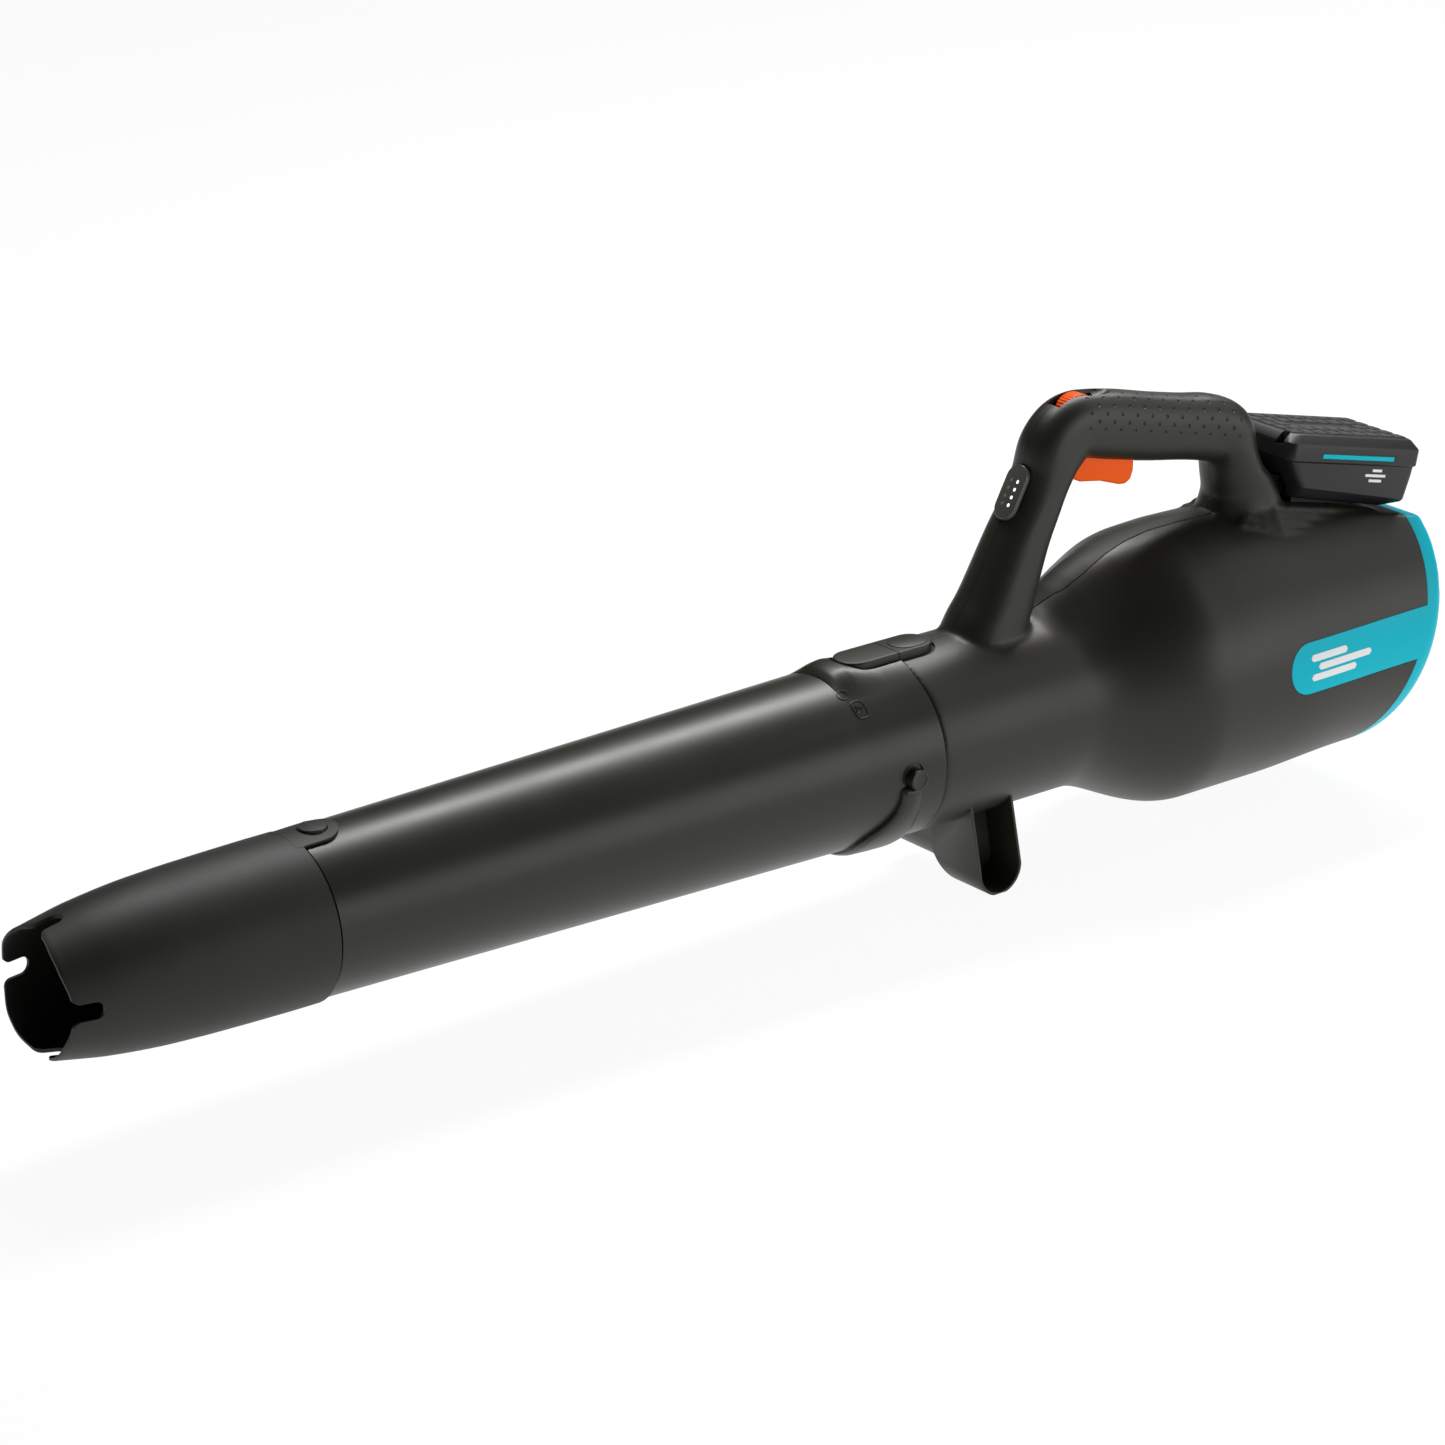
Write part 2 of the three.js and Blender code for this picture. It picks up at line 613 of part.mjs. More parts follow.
function speedWheel() {
  let shape = rodAcross(...WHEEL_CENTRE, WHEEL_RADIUS, -4.5, 4.5, 32);
  shape = shape.subtract(rodAcross(...WHEEL_CENTRE, 2.3, -9, 9, 16));
  const stop = block(WHEEL_CENTRE[0] - 2, WHEEL_CENTRE[0] + 2, -4.5, 4.5,
    WHEEL_CENTRE[1] - WHEEL_RADIUS - 0.6, WHEEL_CENTRE[1] - WHEEL_RADIUS + 2);
  return shape.add(stop);
}

put('speed_wheel', speedWheel(), orange);
put('wheel_pin', rodAcross(...WHEEL_CENTRE, 2.2, -16, 16, 16), steel);

// ---------------------------------------------------------------- battery and its dock
function dockRail() {
  const foot = block(297, 352, -18, 18, PLINTH_TOP + GAP, 180);
  return foot.add(block(297, 352, -21, 21, 177, 182));
}

put('battery_dock', dockRail(), innerBlack, tilted);

function dockContacts() {
  let shape = block(277, 286, -14, 14, PLINTH_TOP + GAP, 183);
  for (const y of [-10, 0, 10]) {
    shape = shape.add(block(285, 295, y - 0.5, y + 0.5, 171, 181));
  }
  return shape;
}

put('dock_contacts', dockContacts(), innerBlack, tilted);

const RAIL_ROOM = 21.6;

function batteryCase() {
  const plan = roundedBox(BATTERY_FRONT + 3, BATTERY_REAR - 1.8, BATTERY_HALF_WIDTH - 0.8, 6);
  let shape = upwards(plan, BATTERY_UNDERSIDE, BATTERY_SPLIT - GAP, 4);
  // Both ends run inwards towards the underside.
  const sides = outline([
    [BATTERY_FRONT + 2, BATTERY_SPLIT + 1], [287, 181], [289, BATTERY_UNDERSIDE - 1],
    [380, BATTERY_UNDERSIDE - 1], [385, 177.4], [BATTERY_REAR - 1.8, BATTERY_SPLIT - 3],
    [BATTERY_REAR - 1.8, BATTERY_SPLIT + 1],
  ]);
  shape = shape.intersect(across(sides, -60, 60));
  shape = shape.add(block(291, 378, -26, 26, BATTERY_BLOCK_BOTTOM, BATTERY_UNDERSIDE + 1));
  const cavity = roundedBox(BATTERY_FRONT + 11, BATTERY_REAR - 6, BATTERY_HALF_WIDTH - 3.4, 5);
  shape = shape.subtract(upwards(cavity, 188.2, 200, 3));
  return shape.subtract(block(250, 356, -RAIL_ROOM, RAIL_ROOM, 160, 185.5));
}

function batteryLid() {
  const bevel = 5;
  const plan = roundedBox(BATTERY_FRONT + bevel, BATTERY_REAR - bevel, BATTERY_HALF_WIDTH - bevel, 2);
  const settings = {
    depth: 24, bevelEnabled: true, bevelSize: bevel, bevelThickness: 6, bevelSegments: 2,
    curveSegments: 4,
  };
  const geometry = new THREE.ExtrudeGeometry(plan, settings);
  geometry.translate(0, 0, BATTERY_TOP - 30);
  let shape = solid(geometry).intersect(block(200, 420, -60, 60, BATTERY_SPLIT, 230));
  const cavity = roundedBox(BATTERY_FRONT + 4, BATTERY_REAR - 4, BATTERY_HALF_WIDTH - 3, 5);
  shape = shape.subtract(upwards(cavity, 190, 208.6, 3));
  const inner = roundedBox(BATTERY_FRONT + 8, BATTERY_REAR - 8, BATTERY_HALF_WIDTH - 8, 3);
  return shape.subtract(upwards(inner, 200, 212.4, 3));
}

const STRIPE = [298, 365.5, 200, 202.8];

function stripeBlock(side, grow) {
  const [xLow, xHigh, zLow, zHigh] = STRIPE;
  const inner = BATTERY_HALF_WIDTH - 0.8;
  const outer = BATTERY_HALF_WIDTH + (grow > 0 ? 1 : 0.2);
  const low = side > 0 ? inner - grow : -outer;
  const high = side > 0 ? outer : grow - inner;
  return block(xLow - grow, xHigh + grow, low, high, zLow - grow, zHigh + grow);
}

const releaseRoom = block(BATTERY_REAR - 4.6, BATTERY_REAR + 3, -14, 14, 198.2, 207.6);
const lid = batteryLid()
  .subtract(stripeBlock(1, GAP))
  .subtract(stripeBlock(-1, GAP))
  .subtract(releaseRoom);

put('battery_case', batteryCase(), batteryBlack, tilted);
put('battery_lid', largest(lid), batteryBlack, tilted);
put('battery_stripe_left', stripeBlock(-1, 0), turquoise, tilted);
put('battery_stripe_right', stripeBlock(1, 0), turquoise, tilted);
put('battery_release', block(BATTERY_REAR - 3.2, BATTERY_REAR + 0.9, -13.6, 13.6, 198.6, 207.2),
  orange, tilted);

const CELL_PITCH = 19;
for (let i = 0; i < 5; i += 1) {
  const cell = rodAcross(295 + i * CELL_PITCH, 198.2, 9.1, -32.5, 32.5, 14);
  put(`battery_cell_${i + 1}`, cell, cellWrap, tilted);
}
put('battery_board', block(281.5, 283.1, -26, 26, 189, 205).add(block(283, 285.4, -8, 8, 192, 200)),
  boardGreen, tilted);

// ---------------------------------------------------------------- tube
function tubeRadius(x) {
  return TUBE_SEAM_RADIUS + TUBE_TAPER * x;
}

const TUBE_FRONT = -474;
const SPIGOT_DROP = 1.1; // the tube steps in under the nozzle

function tubeBody() {
  const step = NOZZLE_REAR + 2;
  return turned([
    [TUBE_FRONT, tubeRadius(TUBE_FRONT) - SPIGOT_DROP],
    [step, tubeRadius(step) - SPIGOT_DROP],
    [step, tubeRadius(step)],
    [COLLAR_FRONT - 1, tubeRadius(COLLAR_FRONT - 1)],
    [COLLAR_FRONT, COLLAR_RADIUS - 0.8],
    [COLLAR_FRONT + 6, COLLAR_RADIUS],
    [-GAP, COLLAR_RADIUS],
    [-GAP, 55],
    [COLLAR_FRONT + 16, 55],
    [COLLAR_FRONT, tubeRadius(COLLAR_FRONT) - TUBE_WALL],
    [TUBE_FRONT, tubeRadius(TUBE_FRONT) - SPIGOT_DROP - 2],
  ], 44);
}

// The raised saddle on the collar carries the front half of the latch pad.
function collarSaddle() {
  const hump = turned([[COLLAR_FRONT + 1, 56], [COLLAR_FRONT + 1, 59], [-41, 61.4], [-GAP, 61.4],
    [-GAP, 56]], 60);
  const wedge = outline([[-31, 80], [-31, 53], [31, 53], [31, 80]]);
  const settings = { depth: 60, bevelEnabled: false };
  const geometry = new THREE.ExtrudeGeometry(wedge, settings);
  geometry.rotateX(Math.PI / 2).rotateZ(Math.PI / 2).translate(-60, 0, 0);
  const pad = upwards(stadium(-42, 40, 0, 13), 57, 62.8, 6);
  return hump.intersect(solid(geometry)).add(pad.subtract(block(-GAP, 60, -20, 20, 40, 80)));
}

const NOZZLE_BUTTON_X = -426;
const NOZZLE_BUTTON_RADIUS = 8.6;
const buttonHole = rodUp(NOZZLE_BUTTON_X, 0, NOZZLE_BUTTON_RADIUS + GAP, 40, 60);

// A keyway in the tube's front end lets the nozzle's button travel with the nozzle.
const keyway = upwards(stadium(TUBE_FRONT - 20, NOZZLE_BUTTON_X + NOZZLE_BUTTON_RADIUS + 0.8, 0, 9.2), 40, 60);
put('blower_tube', largest(tubeBody().add(collarSaddle()).subtract(keyway)), charcoal);
put('nozzle_button', rodUp(NOZZLE_BUTTON_X, 0, NOZZLE_BUTTON_RADIUS, 47.2, 53), nozzlePlastic);

// The retaining band hugs the collar from below and narrows up each side.
const bandRing = turned([[-51, 59.4], [-51, 61], [-46, 63.3], [-13, 63.3], [-8.5, 61], [-8.5, 59.4]], 60);
const bandOutline = outline([
  [-36.5, -9], [-37.5, -14], [-40, -22], [-45.5, -33], [-50.5, -46], [-50.5, -70], [-8.5, -70],
  [-8.5, -54], [-13, -46], [-19, -36], [-21.2, -22], [-21, -9],
]);
put('retaining_band', bandRing.intersect(across(bandOutline, -70, 70)), charcoal);
const PIN = [-25, -0.5];
put('band_pin_left', rodAcross(...PIN, 6.6, -63.2, -59.4, 20), charcoal);
put('band_pin_right', rodAcross(...PIN, 6.6, 59.4, 63.2, 20), charcoal);
put('tube_latch', upwards(stadium(-20, 33, 0, 13), 56.6, 62.8, 6).subtract(
  block(-30, GAP, -20, 20, 40, 80)), charcoal);

// ---------------------------------------------------------------- nozzle
function nozzleRadius(x) {
  const t = THREE.MathUtils.clamp((x - MOUTH) / (NOZZLE_REAR - MOUTH), 0, 1);
  return MOUTH_RADIUS + (51.1 - MOUTH_RADIUS) * (1 - (1 - Math.min(1, t / 0.86)) ** 2.3);
}

function nozzle() {
  const stations = [0, 0.05, 0.11, 0.19, 0.3, 0.45, 0.65, 1];
  const places = stations.map((t) => THREE.MathUtils.lerp(MOUTH, NOZZLE_REAR, t));
  const outer = places.map((x) => [x, nozzleRadius(x)]);
  const inner = places.slice().reverse().map((x) => [x, nozzleRadius(x) - 2.3]);
  let shape = turned(outer.concat(inner), 40);
  const tongueRing = turned([[NOZZLE_REAR - 4, 50.5], [NOZZLE_REAR - 4, 51.1], [NOZZLE_REAR + 3, 52.2],
    [TONGUE_REAR, 52.2], [TONGUE_REAR, 50.5]], 60);
  const tongue = upwards(stadium(NOZZLE_REAR - 30, TONGUE_REAR, 0, 13), 30, 70, 8);
  shape = shape.add(tongueRing.intersect(tongue)).subtract(buttonHole);
  // Four round-ended notches in the mouth, on top, below and at both sides.
  const notch = upwards(stadium(MOUTH - 30, MOUTH + 20, 0, 5.6), 20, 60, 8);
  for (let i = 0; i < 4; i += 1) shape = shape.subtract(notch.rotate([i * 90, 0, 0]));
  return shape;
}

put('nozzle', nozzle(), nozzlePlastic);

// ---------------------------------------------------------------- origin
const box = new THREE.Box3().setFromObject(blower);
drawn.position.set(-(box.min.x + box.max.x) / 2, -(box.min.y + box.max.y) / 2, -box.min.z);

export default blower;
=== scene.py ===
# %% [markdown]
# # A cordless leaf blower
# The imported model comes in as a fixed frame. Each of its nodes is already in place, in metres.
# Everything below either dresses one of those nodes or stands in for it with a finer piece.

# %% Load the frame
import json
from math import atan2, cos, pi, radians, sin, sqrt, tau

import bmesh
import bpy
from mathutils import Matrix, Vector


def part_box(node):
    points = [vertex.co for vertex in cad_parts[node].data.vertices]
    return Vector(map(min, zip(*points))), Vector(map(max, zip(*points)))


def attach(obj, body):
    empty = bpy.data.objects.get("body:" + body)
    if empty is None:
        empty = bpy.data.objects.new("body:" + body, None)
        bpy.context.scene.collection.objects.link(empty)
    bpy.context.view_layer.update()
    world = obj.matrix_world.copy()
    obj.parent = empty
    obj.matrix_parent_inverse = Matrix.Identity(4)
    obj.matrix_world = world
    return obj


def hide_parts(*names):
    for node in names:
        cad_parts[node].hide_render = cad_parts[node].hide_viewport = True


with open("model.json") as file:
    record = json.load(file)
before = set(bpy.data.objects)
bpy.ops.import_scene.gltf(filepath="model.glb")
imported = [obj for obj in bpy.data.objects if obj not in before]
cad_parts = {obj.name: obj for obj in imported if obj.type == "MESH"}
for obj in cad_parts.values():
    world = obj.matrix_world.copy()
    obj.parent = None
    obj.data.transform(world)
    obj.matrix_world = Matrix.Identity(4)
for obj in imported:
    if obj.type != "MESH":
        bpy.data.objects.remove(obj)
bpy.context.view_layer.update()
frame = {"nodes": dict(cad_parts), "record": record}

# %% [markdown]
# Lengths are easiest to think of in millimetres from the seam between tube and housing, on the
# axis of the air path. Both come from the frame: the tube ends 0.3 mm in front of the seam, and
# the motor shaft lies on the axis.

# %% A ruler in millimetres
MM = 0.001
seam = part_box("blower_tube")[1].x + 0.3 * MM
shaft_low, shaft_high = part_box("motor_shaft")
axis_z = (shaft_low.z + shaft_high.z) / 2
TILT = radians(13.4)  # the grip and the battery fall this much towards the rear
SLANT = 0.3  # the rear face leans back by this for each mm of height


def at(x, y, z):
    return Vector((seam + x * MM, y * MM, axis_z + z * MM))


def on_tilt(x, y, z):
    return at(x * cos(TILT) + z * sin(TILT), y, z * cos(TILT) - x * sin(TILT))


def ease(value, start, end):
    t = min(1.0, max(0.0, (value - start) / (end - start)))
    return t * t * (3 - 2 * t)


def between(value, table):
    """Reads a table of (place, height) pairs, straight between its entries."""
    for (a, low), (b, high) in zip(table, table[1:]):
        if value <= b:
            return low + (high - low) * max(0.0, (value - a) / (b - a))
    return table[-1][1]


print("seam at x", round(seam, 4), "axis at z", round(axis_z, 4))

# %% [markdown]
# A few moves come back with every piece: clear the selection, work in edit mode, apply a
# modifier, cut one piece with another. The Manifold solver is fast on closed meshes, and every
# mesh here is closed.

# %% Small helpers
def deselect():
    for other in bpy.context.selected_objects:
        other.select_set(False)


def activate(piece):
    deselect()
    piece.select_set(True)
    bpy.context.view_layer.objects.active = piece


def apply(piece, kind, **settings):
    activate(piece)
    modifier = piece.modifiers.new(kind, kind)
    for key, value in settings.items():
        setattr(modifier, key, value)
    bpy.ops.object.modifier_apply(modifier=modifier.name)


def cut(piece, tool, operation="DIFFERENCE"):
    """Cuts a closed mesh with another, joins them or keeps what they share. The tool goes."""
    apply(piece, "BOOLEAN", operation=operation, object=tool, solver="MANIFOLD")
    bpy.data.objects.remove(tool)


def copy_of(piece, name):
    twin = piece.copy()
    twin.data = piece.data.copy()
    twin.name = name
    bpy.context.collection.objects.link(twin)
    return twin


def tidy_normals(piece):
    activate(piece)
    bpy.ops.object.mode_set(mode="EDIT")
    bpy.ops.mesh.select_all(action="SELECT")
    bpy.ops.mesh.remove_doubles(threshold=1e-6)
    bpy.ops.mesh.normals_make_consistent(inside=False)
    bpy.ops.object.mode_set(mode="OBJECT")


def smooth(piece, angle=32):
    activate(piece)
    bpy.ops.object.shade_smooth_by_angle(angle=radians(angle))


def soften(piece, width, segments=2, angle=35):
    """Rounds the sharp edges, as a mould does."""
    apply(piece, "BEVEL", width=width * MM, segments=segments, limit_method="ANGLE",
          angle_limit=radians(angle), use_clamp_overlap=True)
    smooth(piece)


# %% [markdown]
# Long bodies are lofts. A flat grid is added, its rows are moved to stations along the body, its
# two long edges are welded into a tube, and the ends are filled. The result can be any section
# at any station, which suits a housing that swells from a tube to a belly.

# %% Lofts and prisms
def loft(name, rows, sides, place):
    deselect()
    bpy.ops.mesh.primitive_grid_add(x_subdivisions=sides, y_subdivisions=rows - 1, size=1)
    piece = bpy.context.active_object
    piece.name = name
    for vertex in piece.data.vertices:
        row, side = divmod(vertex.index, sides + 1)
        vertex.co = place(row, (side % sides) / sides * tau)
    bpy.ops.object.mode_set(mode="EDIT")
    bpy.ops.mesh.select_all(action="SELECT")
    bpy.ops.mesh.remove_doubles(threshold=1e-6)
    bpy.ops.mesh.select_all(action="DESELECT")
    bpy.ops.mesh.select_non_manifold()
    bpy.ops.mesh.fill_holes(sides=0)
    bpy.ops.mesh.select_all(action="SELECT")
    bpy.ops.mesh.normals_make_consistent(inside=False)
    bpy.ops.object.mode_set(mode="OBJECT")
    return piece


def prism(name, outline, low, high, lay):
    """A flat outline, given its thickness. lay(u, v, w) puts a point in place."""
    deselect()
    bpy.ops.mesh.primitive_circle_add(vertices=len(outline), fill_type="NGON")
    piece = bpy.context.active_object
    piece.name = name
    for vertex, (u, v) in zip(piece.data.vertices, outline):
        vertex.co = lay(u, v, low)
    shift = lay(0, 0, high) - lay(0, 0, low)
    bpy.ops.object.mode_set(mode="EDIT")
    bpy.ops.mesh.select_all(action="SELECT")
    bpy.ops.mesh.extrude_region_move(TRANSFORM_OT_translate={"value": shift})
    bpy.ops.mesh.select_all(action="SELECT")
    bpy.ops.mesh.normals_make_consistent(inside=False)
    bpy.ops.object.mode_set(mode="OBJECT")
    return piece


def sideways(u, v, w):
    return at(u, w, v)  # outline seen from the side, thickness across


upright = at  # outline seen from above
battery_plan = on_tilt  # outline seen from above, along the tilted battery


def stadium(low, high, half, middle=0.0, steps=16):
    """A slot's outline: two straight sides and two round ends."""
    points = []
    for end, centre in ((0, high - half), (1, low + half)):
        for i in range(steps + 1):
            angle = -pi / 2 + pi * i / steps + pi * end
            points.append((centre + half * cos(angle), middle + half * sin(angle)))
    return points


def rounded(low_u, high_u, low_v, high_v, radius, steps=5):
    points = []
    corners = ((high_u, high_v, 0), (low_u, high_v, 1), (low_u, low_v, 2), (high_u, low_v, 3))
    for u, v, quarter in corners:
        centre_u = u - radius if quarter in (0, 3) else u + radius
        centre_v = v - radius if quarter in (0, 1) else v + radius
        for i in range(steps + 1):
            angle = (quarter + i / steps) * pi / 2
            points.append((centre_u + radius * cos(angle), centre_v + radius * sin(angle)))
    return points


def disc(name, x, z, radius, y_low, y_high, sides=48):
    outline = [(x + radius * cos(tau * i / sides), z + radius * sin(tau * i / sides))
               for i in range(sides)]
    return prism(name, outline, y_low, y_high, sideways)


# %% [markdown]
# ## Finishes
# Every finish is a small node tree on the Principled shader. Colours are written as they look on
# a screen and turned into linear light once. Moulded plastic is never quite even: it has a spark
# eroded grain of about half a millimetre, faint clouds in its shine, and slightly different
# colour from place to place.

# %% Finish helpers
def screen(hex_colour):
    channels = [int(hex_colour[i:i + 2], 16) / 255 for i in (1, 3, 5)]
    return [c / 12.92 if c <= 0.04045 else ((c + 0.055) / 1.055) ** 2.4 for c in channels] + [1]


def add(tree, kind, links=None, **settings):
    """Adds one node. Plain values go to its sockets or properties, sockets are linked."""
    node = tree.nodes.new(kind)
    for key, value in settings.items():
        setattr(node, key, value)
    for key, value in (links or {}).items():
        if isinstance(value, bpy.types.NodeSocket):
            tree.links.new(value, node.inputs[key])
        else:
            node.inputs[key].default_value = value
    return node


def start_finish(name):
    finish = bpy.data.materials.new(name)
    finish.use_nodes = True
    tree = finish.node_tree
    tree.nodes.clear()
    shader = add(tree, "ShaderNodeBsdfPrincipled")
    out = add(tree, "ShaderNodeOutputMaterial", {"Surface": shader.outputs[0]})
    place = add(tree, "ShaderNodeTexCoord").outputs["Object"]
    return finish, tree, shader, place, out


def moulded(name, colour, roughness, grain=0.5, relief=0.03, clouds=0.06, metal=0.0, gloss=0.36):
    """Moulded or machined finish: grain in mm, relief in mm, clouds is how uneven it is."""
    finish, tree, shader, place, _ = start_finish(name)
    fine = add(tree, "ShaderNodeTexNoise", {"Vector": place, "Scale": 1 / (grain * 2 * MM),
                                            "Detail": 3.0, "Roughness": 0.6})
    broad = add(tree, "ShaderNodeTexNoise", {"Vector": place, "Scale": 1 / (60 * MM), "Detail": 4.0})
    shine = add(tree, "ShaderNodeMapRange", {"Value": broad.outputs["Fac"], "To Min": roughness - clouds,
                                             "To Max": roughness + clouds})
    darker = [c * (1 - clouds) for c in screen(colour)[:3]] + [1]
    lighter = [min(1, c * (1 + clouds)) for c in screen(colour)[:3]] + [1]
    tone = add(tree, "ShaderNodeMixRGB", {"Fac": broad.outputs["Fac"], "Color1": darker, "Color2": lighter})
    bump = add(tree, "ShaderNodeBump", {"Strength": 0.6, "Distance": relief * MM,
                                        "Height": fine.outputs["Fac"]})
    tree.links.new(tone.outputs[0], shader.inputs["Base Color"])
    tree.links.new(shine.outputs["Result"], shader.inputs["Roughness"])
    tree.links.new(bump.outputs["Normal"], shader.inputs["Normal"])
    shader.inputs["Metallic"].default_value = metal
    shader.inputs["Specular IOR Level"].default_value = 0.5 if metal else gloss
    return finish


def dress(piece, finish):
    piece.data.materials.clear()
    piece.data.materials.append(finish)


# %% The finishes of this blower
satin_nylon = moulded("glass-filled nylon, satin charcoal", "#25251e", 0.42, grain=0.45, relief=0.02)
tube_plastic = moulded("polypropylene tube, charcoal", "#24241d", 0.35, grain=0.6, relief=0.012)
nozzle_plastic = moulded("polypropylene nozzle, matt charcoal", "#20211c", 0.55, grain=0.5, relief=0.04)
turquoise = moulded("ABS trim, turquoise", "#00bcd0", 0.36, grain=0.8, relief=0.006, clouds=0.03, gloss=0.12)
orange = moulded("ABS controls, orange", "#ff5f0f", 0.38, grain=0.6, relief=0.008, clouds=0.03, gloss=0.12)
battery_black = moulded("ABS battery case, black", "#1d1d1f", 0.42, grain=0.5, relief=0.02)
cover_nylon = moulded("glass-filled nylon cover, matt charcoal", "#21221c", 0.56, grain=0.5, relief=0.03,
                      gloss=0.24)
inner_black = moulded("nylon inner parts, black", "#161616", 0.55, grain=0.5, relief=0.02)
panel_grey = moulded("polycarbonate panel, grey", "#53544e", 0.3, grain=1.2, relief=0.004)
zinc_steel = moulded("zinc-plated steel", "#b9bcbf", 0.32, grain=0.3, relief=0.01, metal=1.0)
copper_wire = moulded("enamelled copper windings", "#b5642c", 0.36, grain=0.5, relief=0.05, metal=1.0)
board_green = moulded("solder mask, green", "#1c5a33", 0.4, grain=1.5, relief=0.02)
cell_sleeve = moulded("shrink sleeve, blue", "#2b6a9c", 0.35, grain=1.5, relief=0.01)
lead_rubber = moulded("silicone lead, red", "#a01e1e", 0.5, grain=0.7, relief=0.01)
white_print = moulded("white pad print", "#f2f3f1", 0.45, grain=0.5, relief=0.004, clouds=0.02)

CAD_FINISHES = {
    "charcoal_shell": satin_nylon, "nozzle_plastic": nozzle_plastic, "turquoise_trim": turquoise,
    "orange_control": orange, "battery_black": battery_black, "inner_black": inner_black,
    "panel_grey": panel_grey, "steel": zinc_steel, "copper": copper_wire,
    "board_green": board_green, "cell_wrap": cell_sleeve, "lead_red": lead_rubber,
}
slots = {row["node"]: row["material_slot"] for row in frame["record"]["subparts"]}
for node_name, node_object in frame["nodes"].items():
    dress(node_object, CAD_FINISHES[slots[node_name]])
print(len(slots), "nodes dressed in", len(CAD_FINISHES), "finishes")

# %% [markdown]
# ## Dimples of the grip
# The grip has rows of small dimples on both sides, staggered like bricks. They are a pattern in
# the finish: the surface is unrolled about the grip's own axis, divided into a lattice, and each
# lattice point presses the surface in and darkens its colour with painted shade in the pit. The
# object's own coordinates place it, so it stays put.

# %% The dimpled finish of the handle
GRIP_FRONT, GRIP_REAR = 102, 238  # where the dimples start and end along the tilted grip
GRIP_AXIS, GRIP_RADIUS = 210.4, 18.5
ROW_GAP, DIMPLE_GAP = 5.2, 13.2


def dimpled(name, colour, roughness):
    finish = moulded(name, colour, roughness, grain=0.45, relief=0.02)
    tree = finish.node_tree
    shader = next(n for n in tree.nodes if n.type == "BSDF_PRINCIPLED")
    old_bump = next(n for n in tree.nodes if n.type == "BUMP")
    place = next(n for n in tree.nodes if n.type == "TEX_COORD").outputs["Object"]
    origin = on_tilt(0, 0, GRIP_AXIS)
    on_grip = add(tree, "ShaderNodeVectorMath", {0: place, 1: origin}, operation="SUBTRACT")
    turned = add(tree, "ShaderNodeVectorRotate", {"Vector": on_grip.outputs[0], "Axis": (0, 1, 0),
                                                  "Angle": -TILT}, rotation_type="AXIS_ANGLE")
    parts = add(tree, "ShaderNodeSeparateXYZ", {0: turned.outputs[0]}).outputs

    def math(operation, a, b=0.0, c=0.0):
        return add(tree, "ShaderNodeMath", {0: a, 1: b, 2: c}, operation=operation).outputs[0]

    across = math("ARCTAN2", parts["Y"], parts["Z"])
    size_across = math("ABSOLUTE", across)
    row = math("MULTIPLY", size_across, GRIP_RADIUS / ROW_GAP)
    row_number = math("ROUND", row)
    odd = math("MODULO", row_number, 2.0)
    along = math("MULTIPLY_ADD", parts["X"], 1 / (DIMPLE_GAP * MM), math("MULTIPLY", odd, 0.5))
    in_row = math("MULTIPLY", math("SUBTRACT", row, row_number), ROW_GAP)
    in_line = math("MULTIPLY", math("SUBTRACT", along, math("ROUND", along)), DIMPLE_GAP)
    far = math("SQRT", math("ADD", math("MULTIPLY", in_row, in_row), math("MULTIPLY", in_line, in_line)))
    pit = add(tree, "ShaderNodeMapRange", {"Value": far, "From Min": 0.5, "From Max": 1.3,
                                           "To Min": 1.0, "To Max": 0.0}, interpolation_type="SMOOTHSTEP")
    ends = math("MULTIPLY", math("GREATER_THAN", parts["X"], GRIP_FRONT * MM),
                math("LESS_THAN", parts["X"], GRIP_REAR * MM))
    sides = math("MULTIPLY", math("GREATER_THAN", size_across, 0.12), math("LESS_THAN", size_across, 1.7))
    only_grip = math("MULTIPLY", math("GREATER_THAN", parts["Z"], -14 * MM), math("MULTIPLY", ends, sides))
    depth = math("MULTIPLY", pit.outputs["Result"], only_grip)
    press = add(tree, "ShaderNodeBump", {"Strength": 1.0, "Distance": 1.4 * MM, "Height": depth,
                                         "Normal": old_bump.outputs["Normal"]}, invert=True)
    tree.links.new(press.outputs["Normal"], shader.inputs["Normal"])
    tone = next(n for n in tree.nodes if n.type == "MIX_RGB")
    # painted shade: the base colour in each pit is darkened towards near-black, up to 80 per cent at its
    # deepest
    painted_pit_shade = add(tree, "ShaderNodeMixRGB", {"Fac": math("MULTIPLY", depth, 0.8), "Color1": tone.outputs[0],
                                           "Color2": screen("#15150f")})
    tree.links.new(painted_pit_shade.outputs[0], shader.inputs["Base Color"])
    return finish


housing_nylon = dimpled("glass-filled nylon, satin charcoal with dimpled grip", "#25251e", 0.42)

# %% [markdown]
# ## Camera and light
# A long lens, three metres away, looks down a little on the nozzle side. The blower lies on a lit
# white table in a dim studio. One long strip light hangs above and behind it, and one low softbox
# stands at its side, so the dark plastic gets one narrow highlight along its top, a dark band
# below that, a broad soft sheen on its side and a thin rim of table light underneath.

